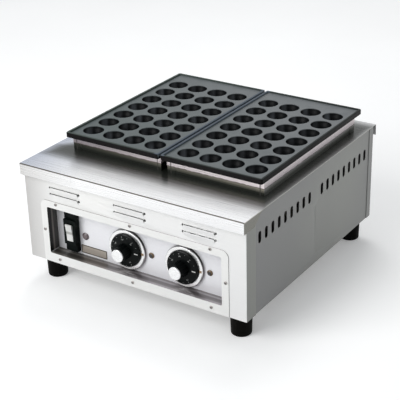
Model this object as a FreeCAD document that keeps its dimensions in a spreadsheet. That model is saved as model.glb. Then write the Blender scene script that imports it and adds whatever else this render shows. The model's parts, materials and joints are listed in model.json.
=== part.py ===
"""Countertop takoyaki maker with two lift-off cast plates, built as separate pieces.

Frame: +Z up, the front faces -Y, +X to the right. The origin lies on the standing surface,
under the middle of the case. Every size below is in millimetres.
"""

import FreeCAD, Part
import math
import os
import re

import Sketcher

# --------------------------------------------------------------------------------------
# Driving dimensions. Each is written once; everything else is worked out from them.
# --------------------------------------------------------------------------------------
SIZES = {
    # case of folded stainless sheet
    "case_width": 468,
    "case_depth": 468,
    "case_height": 190,
    "sheet": 1.0,
    "front_return": 30,
    "rear_return": 16,
    "top_flange": 12,
    "pan_wall": 15,
    "pan_vent_length": 64,
    "pan_vent_count": 4,
    "seam_gap": 0.3,
    # feet
    "foot_height": 46,
    "foot_radius": 19.5,
    "foot_sole_radius": 18.5,
    "foot_sole_round": 3,
    "foot_shoulder_round": 9,
    "foot_inset_side": 31.4,
    "foot_inset_front": 33.8,
    "foot_inset_rear": 23.2,
    "foot_recess_radius": 7.5,
    "foot_web": 9,
    "foot_bolt_radius": 3,
    "foot_bolt_head_radius": 5,
    "foot_bolt_head_height": 4,
    "foot_nut_radius": 5.6,
    "foot_nut_height": 5,
    "foot_bolt_spare": 1,
    "bolt_clearance": 0.3,
    # top cover
    "cover_side_overhang": 1.4,
    "lip_overhang": 9,
    "lip_height": 22,
    "lip_flare": 1.6,
    "lip_bend_radius": 2,
    "lip_wrap": 33,
    "lip_wrap_taper": 25,
    # slots in the side panels
    "slot_width": 9.5,
    "slot_height": 22,
    "slot_drop": 49,
    "slot_pitch": 21.5,
    "slot_count": 9,
    "slot_group_pitch": 218,
    "slot_shift": 5.3,
    # pressed crease in the middle of each side panel
    "crease_shift": 4,
    "crease_width": 7,
    "crease_depth": 0.6,
    "crease_foot": 20,
    "crease_length": 96,
    # louvres in the front panel
    "louvre_length": 61,
    "louvre_rise": 2.6,
    "louvre_wall": 0.8,
    "louvre_pitch": 143,
    "louvre_height_share": 0.163,
    "louvre_row_share": 0.293,
    "louvre_relief_radius": 2.3,
    "louvre_relief_overlap": 0.5,
    # slots in the rear panel
    "rear_slot_length": 60,
    "rear_slot_width": 5,
    "rear_slot_pitch": 13,
    "rear_slot_group_pitch": 220,
    # control tray
    "recess_width": 372,
    "recess_height": 93,
    "recess_rise": 18.5,
    "recess_depth": 24.5,
    "recess_corner": 3,
    "tray_side_flange": 14,
    "tray_top_flange": 13.5,
    "tray_corner": 13,
    "tray_fit": 1,
    "tray_screw_inset": 21.5,
    "tray_screw_row_gap": 9.25,
    "tray_screw_side_gap": 8,
    "tray_screw_radius": 1.5,
    "tray_screw_head_radius": 3,
    "tray_screw_head_height": 1.8,
    "tray_screw_length": 7,
    "head_crown_share": 0.7,
    # thermostat dials
    "right_dial_inset": 89.5,
    "dial_pitch": 121.5,
    "dial_rise": 58.5,
    "bezel_radius": 39,
    "bezel_bore_radius": 32,
    "bezel_depth": 6.5,
    "bezel_edge": 1.5,
    "skirt_radius": 31,
    "skirt_front": 12,
    "skirt_thickness": 7.5,
    "skirt_bevel": 2,
    "grip_length": 20,
    "grip_root_radius": 14.6,
    "grip_tip_radius": 13.2,
    "flute_count": 12,
    "flute_radius": 1.8,
    "flute_set": 0.4,
    "cap_radius": 12,
    "cap_thickness": 2.3,
    "cap_spigot_radius": 4,
    "cap_spigot_length": 3,
    "cap_edge": 0.5,
    # thermostats
    "shaft_radius": 3,
    "running_gap": 0.05,
    "shaft_in_knob": 17,
    "shaft_in_thermostat": 14,
    "shaft_flat": 0.8,
    "bush_radius": 5,
    "bush_length": 4,
    "thermostat_width": 44,
    "thermostat_height": 34,
    "thermostat_depth": 30,
    "thermostat_screw_pitch": 28,
    "thermostat_screw_radius": 1.5,
    "thermostat_screw_head_radius": 2.8,
    "thermostat_screw_head_height": 1.6,
    "thermostat_screw_length": 8,
    "tab_width": 6.3,
    "tab_thickness": 0.8,
    "tab_length": 9,
    "tab_pitch": 24,
    # pilot lamps
    "dial_lamp_offset": 50.5,
    "dial_lamp_radius": 5.5,
    "power_lamp_offset": 27,
    "power_lamp_rise": 57.5,
    "power_lamp_radius": 7,
    "lamp_flange": 1.4,
    "lamp_dome": 2.2,
    "lamp_stem": 4,
    "lamp_holder_length": 22,
    "lamp_wall": 1.6,
    # circuit breaker
    "breaker_inset": 38,
    "breaker_rise": 63.5,
    "breaker_width": 26,
    "breaker_height": 79,
    "breaker_stand": 13,
    "breaker_depth": 46,
    "breaker_ear": 5,
    "breaker_ear_thickness": 2.5,
    "breaker_fit": 0.4,
    "breaker_nose_height": 50,
    "breaker_shoulder": 4,
    "toggle_width": 14,
    "toggle_height": 34,
    "toggle_root": 10,
    "toggle_dip": 1,
    "toggle_thickness": 5,
    "toggle_tilt": 7,
    "toggle_pin_radius": 1.5,
    "toggle_pin_length": 2,
    "toggle_stand": 3,
    "toggle_clearance": 1,
    # cooking plates
    "plates_x": 11.7,
    "plates_front": 76.5,
    "plate_gap": 3.6,
    "plate_width": 204.8,
    "plate_depth": 369,
    "plate_thickness": 6,
    "plate_rim_height": 3.5,
    "plate_rim_width": 5,
    "plate_rim_round": 1.5,
    "plate_corner": 4,
    "cup_pitch": 46,
    "cup_columns": 4,
    "cup_rows": 7,
    "cup_front_margin": 39.8,
    "cup_radius": 19.5,
    "cup_depth": 17,
    "cup_wall": 3,
    # heater boxes under the plates
    "box_side_inset": 5.6,
    "box_front_inset": 16,
    "box_rear_inset": 21,
    "box_height": 28,
    "box_wall": 1.2,
    "box_foot": 10,
    "box_band_height": 15,
    "box_band_rise": 1.2,
    "box_corner_leg": 16,
    "box_corner_thickness": 0.8,
    "plate_seat_gap": 0.3,
    # reflector pans inside the heater boxes
    "reflector_wall": 0.8,
    "reflector_fit": 1,
    "reflector_depth": 24,
    # heating elements
    "element_radius": 4,
    "element_drop": 13,
    "element_run_pitch": 40,
    "element_front_margin": 40,
    "element_rear_margin": 32,
    "element_tail": 12,
    "element_hole_gap": 0.6,
    "terminal_radius": 2,
    "terminal_length": 10,
    "rest_width": 12,
    "rest_length": 150,
    "rest_pitch": 180,
    "rest_seat_gap": 0.1,
    # mains side, inside the case and through the rear panel
    "block_x": 110,
    "block_y": 150,
    "block_length": 70,
    "block_width": 24,
    "block_height": 18,
    "block_cell_count": 4,
    "block_cell_pitch": 16,
    "block_cell_width": 12,
    "block_cell_depth": 6,
    "gland_x": 150,
    "gland_rise": 34,
    "gland_flange_radius": 12,
    "gland_flange_length": 4,
    "gland_nose_radius": 7.5,
    "gland_nose_length": 4.6,
    "gland_barrel_radius": 8,
    "gland_barrel_length": 14,
    "gland_bore_radius": 4.5,
    "gland_edge": 1,
    "gland_nut_radius": 12,
    "gland_nut_length": 5,
}

document = FreeCAD.newDocument("takoyaki_maker")
sheet = document.addObject("Spreadsheet::Sheet", "dims")
for row, (alias, value) in enumerate(SIZES.items(), start=1):
    sheet.set(f"A{row}", alias)
    sheet.set(f"B{row}", str(value))
    sheet.setAlias(f"B{row}", alias)
document.recompute()

# Planes and levels that several pieces share, as expressions in the sheet's names.
CASE_BOTTOM = "foot_height"
CASE_TOP = "(foot_height + case_height)"
COVER_UNDERSIDE = "(foot_height + case_height - sheet)"
FRONT_FACE = "(-case_depth / 2)"
REAR_FACE = "(case_depth / 2)"
RECESS_FACE = "(recess_depth - case_depth / 2)"
DIAL_LEVEL = "(foot_height + dial_rise)"
RIGHT_DIAL_X = "(recess_width / 2 - right_dial_inset)"
LEFT_DIAL_X = f"({RIGHT_DIAL_X} - dial_pitch)"
BREAKER_X = "(breaker_inset - recess_width / 2)"
POWER_LAMP_X = f"({BREAKER_X} + power_lamp_offset)"
TRAY_WIDTH = "(recess_width + 2 * tray_side_flange)"
TRAY_HEIGHT = "(recess_rise + recess_height + tray_top_flange)"
TRAY_SCREW_PITCH = "(recess_width / 2 - tray_screw_inset)"
TRAY_SCREW_RISE = "(recess_rise - tray_screw_row_gap)"
TRAY_SCREW_ROW_PITCH = "(recess_height + 2 * tray_screw_row_gap)"
TRAY_SCREW_SIDE = "(recess_width / 2 + tray_screw_side_gap)"
LOUVRE_FIELD = f"(case_height - lip_height - {TRAY_HEIGHT})"
LOUVRE_HEIGHT = f"(louvre_height_share * {LOUVRE_FIELD})"
LOUVRE_ROW_PITCH = f"(louvre_row_share * {LOUVRE_FIELD})"
SIDE_INNER = "(case_width / 2 - 2 * sheet)"
PLATE_MIDDLE_Y = "(plates_front + plate_depth / 2 - case_depth / 2)"
LEFT_PLATE_X = "(plates_x - plate_gap / 2 - plate_width / 2)"
RIGHT_PLATE_X = "(plates_x + plate_gap / 2 + plate_width / 2)"
CUP_SPHERE = "((cup_radius ^ 2 + cup_depth ^ 2) / (2 * cup_depth))"
BOX_WIDTH = "(plate_width - 2 * box_side_inset)"
BOX_DEPTH = "(plate_depth - box_front_inset - box_rear_inset)"
BOX_SHIFT_Y = "((box_front_inset - box_rear_inset) / 2)"
WELL_WIDTH = f"({BOX_WIDTH} - 2 * box_wall - 2 * box_foot)"
WELL_DEPTH = f"({BOX_DEPTH} - 2 * box_wall - 2 * box_foot)"
REFLECTOR_WIDTH = f"({WELL_WIDTH} - 2 * reflector_fit)"
REFLECTOR_DEPTH = f"({WELL_DEPTH} - 2 * reflector_fit)"
FOOT_X = "(case_width / 2 - foot_inset_side)"
FOOT_FRONT_Y = "(foot_inset_front - case_depth / 2)"
FOOT_REAR_Y = "(case_depth / 2 - foot_inset_rear)"
FOOT_PLACES = {
    "front_left": (f"-{FOOT_X}", FOOT_FRONT_Y),
    "front_right": (FOOT_X, FOOT_FRONT_Y),
    "rear_left": (f"-{FOOT_X}", FOOT_REAR_Y),
    "rear_right": (FOOT_X, FOOT_REAR_Y),
}
OUTER_RUN_X = "(3 * element_run_pitch / 2)"
INNER_RUN_X = "(element_run_pitch / 2)"

# How near two computed lengths must be to count as the same.
SAME = 1e-4

parts = []


# --------------------------------------------------------------------------------------
# Short helpers round FreeCAD's own objects
# --------------------------------------------------------------------------------------
def tied(text):
    """The same expression with every size's name pointing at its cell."""
    return re.sub(r"[a-z][a-z_]*", lambda word: "dims." + word[0] if word[0] in SIZES else word[0], text)


def number(text):
    """What an expression is worth now."""
    return float(sheet.evalExpression(tied(text)))


def tie(thing, prop, text):
    """Bind one property of an object to an expression."""
    thing.setExpression(prop, tied(text))


def place(thing, x="0", y="0", z="0"):
    """Bind an object's place to three expressions."""
    for axis, text in zip("xyz", (x, y, z)):
        tie(thing, f"Placement.Base.{axis}", text)


def new_body(label):
    """An empty body that becomes one sub-part; its label names the file."""
    body = document.addObject("PartDesign::Body", "Body")
    body.Label = label
    parts.append(body)
    return body


def sketch_on(body, plane, u="0", v="0", out="0"):
    """A sketch on one of the body's origin planes, shifted by (u, v, out) in that plane's frame."""
    sketch = body.newObject("Sketcher::SketchObject", "Sketch")
    support = [feature for feature in body.Origin.OriginFeatures if feature.Role == plane + "_Plane"][0]
    sketch.AttachmentSupport = [(support, "")]
    sketch.MapMode = "FlatFace"
    for axis, text in zip("xyz", (u, v, out)):
        tie(sketch, f"AttachmentOffset.Base.{axis}", text)
    return sketch


def pin_point(sketch, edge, end, u, v):
    """Hold one end of an edge at the expressions (u, v) from the sketch's origin."""
    for kind, text in (("DistanceX", u), ("DistanceY", v)):
        index = sketch.addConstraint(Sketcher.Constraint(kind, -1, 1, edge, end, number(text)))
        tie(sketch, f"Constraints[{index}]", text)


def outline(sketch, *corners):
    """A closed outline of straight edges through corners given as pairs of expressions."""
    points = [FreeCAD.Vector(number(u), number(v), 0) for u, v in corners]
    first = sketch.GeometryCount
    count = len(points)
    for index in range(count):
        sketch.addGeometry(Part.LineSegment(points[index], points[(index + 1) % count]), False)
    for index in range(count):
        following = first + (index + 1) % count
        sketch.addConstraint(Sketcher.Constraint("Coincident", first + index, 2, following, 1))
    for index, (u, v) in enumerate(corners):
        pin_point(sketch, first + index, 1, u, v)


def rectangle(sketch, width, height):
    """A rectangle centred on the sketch's origin."""
    left, right = f"-({width}) / 2", f"({width}) / 2"
    low, high = f"-({height}) / 2", f"({height}) / 2"
    outline(sketch, (left, low), (right, low), (right, high), (left, high))


def circle(sketch, radius, u="0", v="0"):
    """A circle of the given radius about the point (u, v)."""
    centre = FreeCAD.Vector(number(u), number(v), 0)
    index = sketch.addGeometry(Part.Circle(centre, FreeCAD.Vector(0, 0, 1), number(radius)), False)
    rule = sketch.addConstraint(Sketcher.Constraint("Radius", index, number(radius)))
    tie(sketch, f"Constraints[{rule}]", radius)
    pin_point(sketch, index, 3, u, v)


def obround(sketch, length, width, upright=True):
    """A slot with round ends about the sketch's origin, its length along the V axis or the U axis."""
    radius = number(width) / 2
    reach = number(length) / 2 - radius
    quarter = 0 if upright else -math.pi / 2
    along = FreeCAD.Vector(-math.sin(quarter), math.cos(quarter), 0)
    across = FreeCAD.Vector(math.cos(quarter), math.sin(quarter), 0)
    edges = []
    for end, start_angle in ((1, quarter), (-1, quarter + math.pi)):
        end_circle = Part.Circle(along * (end * reach), FreeCAD.Vector(0, 0, 1), radius)
        cap = Part.ArcOfCircle(end_circle, start_angle, start_angle + math.pi)
        corner = across * (-end * radius)
        side = Part.LineSegment(corner + along * (end * reach), corner - along * (end * reach))
        edges.append(sketch.addGeometry(cap, False))
        edges.append(sketch.addGeometry(side, False))
    for before, after in zip(edges, edges[1:] + edges[:1]):
        sketch.addConstraint(Sketcher.Constraint("Tangent", before, 2, after, 1))
    for cap, sign in ((edges[0], ""), (edges[2], "-")):
        offset = f"{sign}({length} - {width}) / 2"
        pin_point(sketch, cap, 3, *(("0", offset) if upright else (offset, "0")))
    rule = sketch.addConstraint(Sketcher.Constraint("Radius", edges[0], radius))
    tie(sketch, f"Constraints[{rule}]", f"({width}) / 2")


def pad(body, sketch, length, both_ways=False, reverse=False):
    """Raise a sketch into a solid along its normal."""
    feature = body.newObject("PartDesign::Pad", "Pad")
    feature.Profile = sketch
    feature.Midplane = both_ways
    feature.Reversed = reverse
    tie(feature, "Length", length)
    return feature


def pocket(body, sketch, length, both_ways=False, reverse=False):
    """Cut a sketch into the solid against its normal; a cut that removes nothing is an error."""
    document.recompute()
    before = body.Tip.Shape.Volume
    feature = body.newObject("PartDesign::Pocket", "Pocket")
    feature.Profile = sketch
    feature.Midplane = both_ways
    feature.Reversed = reverse
    tie(feature, "Length", length)
    document.recompute()
    if not feature.Shape.Volume < before:
        raise RuntimeError(f"{body.Label}: a pocket cuts nothing")
    return feature


def turned(body, sketch, axis="V_Axis"):
    """Turn a sketch once round one of its own axes."""
    feature = body.newObject("PartDesign::Revolution", "Revolution")
    feature.Profile = sketch
    feature.ReferenceAxis = (sketch, [axis])
    feature.Angle = 360
    return feature


def turned_cut(body, sketch, axis="V_Axis"):
    """Turn a sketch once round one of its own axes and take it out of the solid."""
    document.recompute()
    before = body.Tip.Shape.Volume
    feature = body.newObject("PartDesign::Groove", "Groove")
    feature.Profile = sketch
    feature.ReferenceAxis = (sketch, [axis])
    feature.Angle = 360
    document.recompute()
    if not feature.Shape.Volume < before:
        raise RuntimeError(f"{body.Label}: a groove cuts nothing")
    return feature


def row_of(body, along, pitch, count):
    """A pattern with no originals of its own: a number of places along one of the body's origin axes."""
    pattern = body.newObject("PartDesign::LinearPattern", "LinearPattern")
    axis = [feature for feature in body.Origin.OriginFeatures if feature.Role == along + "_Axis"][0]
    pattern.Direction = (axis, [""])
    pattern.Mode = "Spacing"
    tie(pattern, "Offset", pitch)
    tie(pattern, "Occurrences", count)
    return pattern


def repeated(body, originals, *rows):
    """Copies of some features along one origin axis or, as a grid, along two: (axis, pitch, count) each."""
    if len(rows) == 1:
        pattern = row_of(body, *rows[0])
    else:
        pattern = body.newObject("PartDesign::MultiTransform", "MultiTransform")
        pattern.Transformations = [row_of(body, *row) for row in rows]
    pattern.Originals = originals
    body.Tip = pattern
    document.recompute()
    return pattern


def rounded(body, radius, wanted):
    """Round the edges of the body for which wanted(edge) is true."""
    document.recompute()
    tip = body.Tip
    names = [f"Edge{index}" for index, edge in enumerate(tip.Shape.Edges, start=1) if wanted(edge)]
    if not names:
        raise RuntimeError(f"{body.Label}: no edge to round")
    feature = body.newObject("PartDesign::Fillet", "Fillet")
    feature.Base = (tip, names)
    tie(feature, "Radius", radius)
    return feature


def runs_along(edge, axis):
    """True for a straight edge along one of the axes x, y or z."""
    if not isinstance(edge.Curve, Part.Line):
        return False
    return edge.BoundBox.DiagonalLength - getattr(edge.BoundBox, axis.upper() + "Length") < SAME


def reaches(edge, axis, level):
    """True where the middle of an edge lies at the given expression's level on an axis."""
    return abs(getattr(edge.CenterOfMass, axis) - number(level)) < SAME


# --------------------------------------------------------------------------------------
# Case: a base pan with turned-up edges, folded panels round it and a folded cover on top
# --------------------------------------------------------------------------------------
def base_pan():
    """Floor of the case, its four edges turned up inside the panels."""
    body = new_body("base_pan")
    width = f"(2 * {SIDE_INNER})"
    depth = "(case_depth - 2 * sheet)"
    floor = sketch_on(body, "XY", out=CASE_BOTTOM)
    rectangle(floor, width, depth)
    pad(body, floor, "pan_wall")
    inside = sketch_on(body, "XY", out=f"{CASE_BOTTOM} + pan_wall")
    rectangle(inside, f"{width} - 2 * sheet", f"{depth} - 2 * sheet")
    pocket(body, inside, "pan_wall - sheet")

    bolt_holes = sketch_on(body, "XY", out=f"{CASE_BOTTOM} + sheet")
    for x, y in FOOT_PLACES.values():
        circle(bolt_holes, "foot_bolt_radius + bolt_clearance", x, y)
    pocket(body, bolt_holes, "sheet")

    vent = sketch_on(body, "XY", "-(pan_vent_count - 1) * slot_pitch / 2", "0", f"{CASE_BOTTOM} + sheet")
    obround(vent, "pan_vent_length", "slot_width")
    first = pocket(body, vent, "sheet")
    repeated(body, [first], ("X", "slot_pitch", "pan_vent_count"))

    screw_level = f"{CASE_BOTTOM} + {TRAY_SCREW_RISE}"
    screws = sketch_on(body, "XZ", f"-{TRAY_SCREW_PITCH}", screw_level, f"-{FRONT_FACE}")
    circle(screws, "tray_screw_radius + bolt_clearance")
    hole = pocket(body, screws, "2 * sheet")
    repeated(body, [hole], ("X", TRAY_SCREW_PITCH, "3"))


def wrapped_panel(label, side, return_length):
    """Front or rear panel: a flat face with a return at each end, turned in along its top."""
    body = new_body(label)
    outer = f"{side} * case_depth / 2"
    inner = f"{side} * (case_depth / 2 - sheet)"
    back = f"{side} * (case_depth / 2 - {return_length})"
    plan = sketch_on(body, "XY", out=CASE_BOTTOM)
    outline(
        plan,
        ("-case_width / 2", outer),
        ("case_width / 2", outer),
        ("case_width / 2", back),
        ("case_width / 2 - sheet", back),
        ("case_width / 2 - sheet", inner),
        ("sheet - case_width / 2", inner),
        ("sheet - case_width / 2", back),
        ("-case_width / 2", back),
    )
    pad(body, plan, "case_height - sheet")
    flange_y = f"{side} * (case_depth / 2 - sheet - top_flange / 2)"
    flange = sketch_on(body, "XY", "0", flange_y, COVER_UNDERSIDE)
    rectangle(flange, f"2 * ({SIDE_INNER} - seam_gap)", "top_flange")
    pad(body, flange, "sheet", reverse=True)
    half_height = number("case_height / 2")
    rounded(
        body,
        "sheet",
        lambda edge: runs_along(edge, "z") and reaches(edge, "y", outer) and edge.Length > half_height,
    )
    return body


def front_panel():
    """Front of the case, with the opening for the control tray and three pairs of pressed louvres."""
    body = wrapped_panel("front_panel", "-1", "front_return")
    middle = "recess_rise + recess_height / 2"
    opening = sketch_on(body, "XZ", "0", f"{CASE_BOTTOM} + {middle}", f"-{FRONT_FACE}")
    margin = "2 * sheet + 2 * tray_fit"
    rectangle(opening, f"recess_width + {margin}", f"recess_height + {margin}")
    pocket(body, opening, "sheet")

    screws = sketch_on(body, "XZ", "0", f"{CASE_BOTTOM} + {TRAY_SCREW_RISE}", f"-{FRONT_FACE}")
    tray_screw_circles(screws, "tray_screw_radius + bolt_clearance")
    pocket(body, screws, "sheet")

    crown = f"{CASE_BOTTOM} + {TRAY_HEIGHT} + {LOUVRE_FIELD} / 2 - {LOUVRE_ROW_PITCH} / 2"
    hood = sketch_on(body, "YZ", FRONT_FACE, crown, "-louvre_pitch")
    outline(hood, ("sheet / 2", f"-{LOUVRE_HEIGHT}"), ("sheet / 2", "0"), ("-louvre_rise", "0"),
            ("-louvre_rise", "-louvre_wall"), ("0", f"-{LOUVRE_HEIGHT}"))
    outside = pad(body, hood, "louvre_length", both_ways=True)
    throat = sketch_on(body, "YZ", FRONT_FACE, crown, "-louvre_pitch")
    outline(throat, ("sheet + seam_gap", f"louvre_wall - {LOUVRE_HEIGHT}"), ("sheet + seam_gap", "seam_gap"),
            ("louvre_wall - louvre_rise", "seam_gap"), ("louvre_wall - louvre_rise", "-louvre_wall"),
            ("0", f"louvre_wall - {LOUVRE_HEIGHT}"))
    hollow = pocket(body, throat, "louvre_length - 2 * louvre_wall", both_ways=True)
    ends = sketch_on(body, "XZ", "-louvre_pitch", f"{crown} - louvre_relief_radius / 2", f"-{FRONT_FACE}")
    for side in ("-1", "1"):
        circle(ends, "louvre_relief_radius",
               f"{side} * (louvre_length / 2 + louvre_relief_radius - louvre_relief_overlap)")
    relief = pocket(body, ends, "sheet")
    repeated(body, [outside, hollow, relief], ("X", "louvre_pitch", "3"), ("Z", LOUVRE_ROW_PITCH, "2"))


def tray_screw_circles(sketch, radius):
    """The eight screw places of the control tray, about the middle of its lower row."""
    for column in (f"-{TRAY_SCREW_PITCH}", "0", TRAY_SCREW_PITCH):
        for row in ("0", TRAY_SCREW_ROW_PITCH):
            circle(sketch, radius, column, row)
    for column in (f"-{TRAY_SCREW_SIDE}", TRAY_SCREW_SIDE):
        circle(sketch, radius, column, f"{TRAY_SCREW_ROW_PITCH} / 2")


def rear_panel():
    """Back of the case, with two stacks of slots and the hole for the mains lead's gland."""
    body = wrapped_panel("rear_panel", "1", "rear_return")
    slot = sketch_on(body, "XZ", "-rear_slot_group_pitch / 2", f"{CASE_TOP} - slot_drop - rear_slot_pitch",
                     f"-{REAR_FACE} + sheet")
    obround(slot, "rear_slot_length", "rear_slot_width", upright=False)
    first = pocket(body, slot, "sheet")
    repeated(body, [first], ("X", "rear_slot_group_pitch", "2"), ("Z", "rear_slot_pitch", "3"))
    gland = sketch_on(body, "XZ", "gland_x", f"{CASE_BOTTOM} + gland_rise", f"-{REAR_FACE} + sheet")
    circle(gland, "gland_barrel_radius + bolt_clearance")
    pocket(body, gland, "sheet")


def side_panel(label, side):
    """Side of the case: two rows of upright slots with a crease between them, turned in along the top."""
    body = new_body(label)
    outer = f"{side} * (case_width / 2 - sheet)"
    inner = f"{side} * {SIDE_INNER}"
    edge = f"{side} * ({SIDE_INNER} - top_flange)"
    profile = sketch_on(body, "XZ")
    outline(
        profile,
        (outer, CASE_BOTTOM),
        (outer, COVER_UNDERSIDE),
        (edge, COVER_UNDERSIDE),
        (edge, f"{COVER_UNDERSIDE} - sheet"),
        (inner, f"{COVER_UNDERSIDE} - sheet"),
        (inner, CASE_BOTTOM),
    )
    pad(body, profile, "case_depth - 2 * sheet", both_ways=True)
    for end in ("-1", "1"):
        notch = sketch_on(body, "XY", edge, f"{end} * (case_depth / 2 - sheet)", COVER_UNDERSIDE)
        rectangle(notch, "2 * top_flange", "2 * (top_flange + seam_gap)")
        pocket(body, notch, "sheet")

    crease_level = f"{CASE_BOTTOM} + crease_foot"
    rib = sketch_on(body, "XY", inner, "crease_shift", crease_level)
    outline(rib, ("0", "-crease_width / 2"), (f"-{side} * crease_depth", "0"), ("0", "crease_width / 2"))
    pad(body, rib, "crease_length")
    valley = sketch_on(body, "XY", outer, "crease_shift", crease_level)
    outline(valley, ("0", "-crease_width / 2"), (f"-{side} * crease_depth", "0"), ("0", "crease_width / 2"))
    pocket(body, valley, "crease_length", reverse=True)

    first_slot = "slot_shift - slot_group_pitch / 2 - (slot_count - 1) * slot_pitch / 2"
    slot = sketch_on(body, "YZ", first_slot, f"{CASE_TOP} - slot_drop", f"{side} * case_width / 2")
    obround(slot, "slot_height", "slot_width")
    first = pocket(body, slot, "6 * sheet", both_ways=True)
    repeated(body, [first], ("Y", "slot_pitch", "slot_count"), ("Y", "slot_group_pitch", "2"))


def top_cover():
    """Top of the case: lips turned down at the front and rear, wells cut out under the two heater boxes."""
    body = new_body("top_cover")
    half = "case_depth / 2 + lip_overhang"
    section = sketch_on(body, "YZ")
    outline(
        section,
        (f"-({half})", CASE_TOP),
        (f"{half} - lip_flare", CASE_TOP),
        (half, f"{CASE_TOP} - lip_height"),
        (f"{half} - sheet", f"{CASE_TOP} - lip_height"),
        (f"{half} - lip_flare - sheet", COVER_UNDERSIDE),
        (f"sheet - ({half})", COVER_UNDERSIDE),
        (f"sheet - ({half})", f"{CASE_TOP} - lip_height"),
        (f"-({half})", f"{CASE_TOP} - lip_height"),
    )
    pad(body, section, "case_width + 2 * cover_side_overhang", both_ways=True)
    for side in ("-1", "1"):
        cheek_x = f"{side} * (case_width / 2 + cover_side_overhang)"
        cheek = sketch_on(body, "YZ", f"-({half})", CASE_TOP, cheek_x)
        outline(
            cheek,
            ("0", "0"),
            ("0", "-lip_height"),
            ("lip_wrap", "-lip_height"),
            ("lip_wrap + lip_wrap_taper", "-sheet"),
            ("lip_wrap + lip_wrap_taper", "0"),
        )
        pad(body, cheek, "cover_side_overhang - seam_gap", reverse=side == "1")
    front_edge = f"-({half})"
    rounded(
        body,
        "lip_bend_radius",
        lambda edge: runs_along(edge, "x")
        and reaches(edge, "z", CASE_TOP)
        and reaches(edge, "y", front_edge),
    )
    for middle in (LEFT_PLATE_X, RIGHT_PLATE_X):
        well = sketch_on(body, "XY", middle, f"{PLATE_MIDDLE_Y} + {BOX_SHIFT_Y}", CASE_TOP)
        rectangle(well, WELL_WIDTH, WELL_DEPTH)
        pocket(body, well, "sheet")


# --------------------------------------------------------------------------------------
# Control tray: a drawn tray screwed into the front panel, with what is mounted on its floor
# --------------------------------------------------------------------------------------
def control_tray():
    """Drawn tray that sinks the controls behind the front, its flange flush with the case's bottom."""
    body = new_body("control_tray")
    middle = f"{CASE_BOTTOM} + recess_rise + recess_height / 2"
    flange = sketch_on(body, "XZ", "0", f"{CASE_BOTTOM} + {TRAY_HEIGHT} / 2", f"-{FRONT_FACE}")
    rectangle(flange, TRAY_WIDTH, TRAY_HEIGHT)
    pad(body, flange, "sheet")
    rounded(
        body,
        "tray_corner",
        lambda edge: runs_along(edge, "y") and reaches(edge, "z", f"{CASE_BOTTOM} + {TRAY_HEIGHT}"),
    )
    shell = sketch_on(body, "XZ", "0", middle, f"-{FRONT_FACE}")
    rectangle(shell, "recess_width + 2 * sheet", "recess_height + 2 * sheet")
    pad(body, shell, "recess_depth + sheet", reverse=True)
    hollow = sketch_on(body, "XZ", "0", middle, f"sheet - {FRONT_FACE}")
    rectangle(hollow, "recess_width", "recess_height")
    pocket(body, hollow, "recess_depth + sheet")
    for radius, half_width in (("recess_corner", "recess_width / 2"),
                               ("recess_corner + sheet", "(recess_width / 2 + sheet)")):
        rounded(
            body,
            radius,
            lambda edge: runs_along(edge, "y")
            and (reaches(edge, "x", half_width) or reaches(edge, "x", f"-{half_width}")),
        )

    screws = sketch_on(body, "XZ", "0", f"{CASE_BOTTOM} + {TRAY_SCREW_RISE}", f"sheet - {FRONT_FACE}")
    tray_screw_circles(screws, "tray_screw_radius + bolt_clearance")
    pocket(body, screws, "sheet")

    floor = sketch_on(body, "XZ", "0", CASE_BOTTOM, f"-{RECESS_FACE}")
    for dial in (LEFT_DIAL_X, RIGHT_DIAL_X):
        circle(floor, "bush_radius + bolt_clearance", dial, "dial_rise")
        for side in ("-1", "1"):
            circle(floor, "thermostat_screw_radius + bolt_clearance",
                   f"{dial} + {side} * thermostat_screw_pitch / 2", "dial_rise")
        lamp_x = f"{dial} + dial_lamp_offset"
        circle(floor, "dial_lamp_radius - lamp_wall + bolt_clearance", lamp_x, "dial_rise")
    circle(floor, "power_lamp_radius - lamp_wall + bolt_clearance", POWER_LAMP_X, "power_lamp_rise")
    half_width = "(breaker_width / 2 + breaker_fit)"
    half_height = "(breaker_height / 2 + breaker_fit)"
    outline(
        floor,
        (f"{BREAKER_X} - {half_width}", f"breaker_rise - {half_height}"),
        (f"{BREAKER_X} + {half_width}", f"breaker_rise - {half_height}"),
        (f"{BREAKER_X} + {half_width}", f"breaker_rise + {half_height}"),
        (f"{BREAKER_X} - {half_width}", f"breaker_rise + {half_height}"),
    )
    pocket(body, floor, "sheet")


def tray_screws():
    """Eight pan-head screws that hold the tray in the front panel."""
    body = new_body("tray_screws")
    profile = sketch_on(body, "XY", f"-{TRAY_SCREW_PITCH}", f"{FRONT_FACE} - sheet",
                        f"{CASE_BOTTOM} + {TRAY_SCREW_RISE}")
    screw_profile(profile, "tray_screw_radius", "tray_screw_length",
                  "tray_screw_head_radius", "tray_screw_head_height")
    first = turned(body, profile)
    side_profile = sketch_on(body, "XY", f"-{TRAY_SCREW_SIDE}", f"{FRONT_FACE} - sheet",
                             f"{CASE_BOTTOM} + {TRAY_SCREW_RISE} + {TRAY_SCREW_ROW_PITCH} / 2")
    screw_profile(side_profile, "tray_screw_radius", "tray_screw_length",
                  "tray_screw_head_radius", "tray_screw_head_height")
    side_screw = turned(body, side_profile)
    repeated(body, [first], ("X", TRAY_SCREW_PITCH, "3"), ("Z", TRAY_SCREW_ROW_PITCH, "2"))
    repeated(body, [side_screw], ("X", f"2 * {TRAY_SCREW_SIDE}", "2"))


def screw_profile(sketch, radius, length, head_radius, head_height):
    """Half section of a pan-head screw about the V axis, its head standing out towards -V."""
    outline(
        sketch,
        ("0", length),
        (radius, length),
        (radius, "0"),
        (head_radius, "0"),
        (head_radius, f"-{head_height} / 2"),
        (f"{head_radius} * head_crown_share", f"-{head_height}"),
        ("0", f"-{head_height}"),
    )


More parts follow.
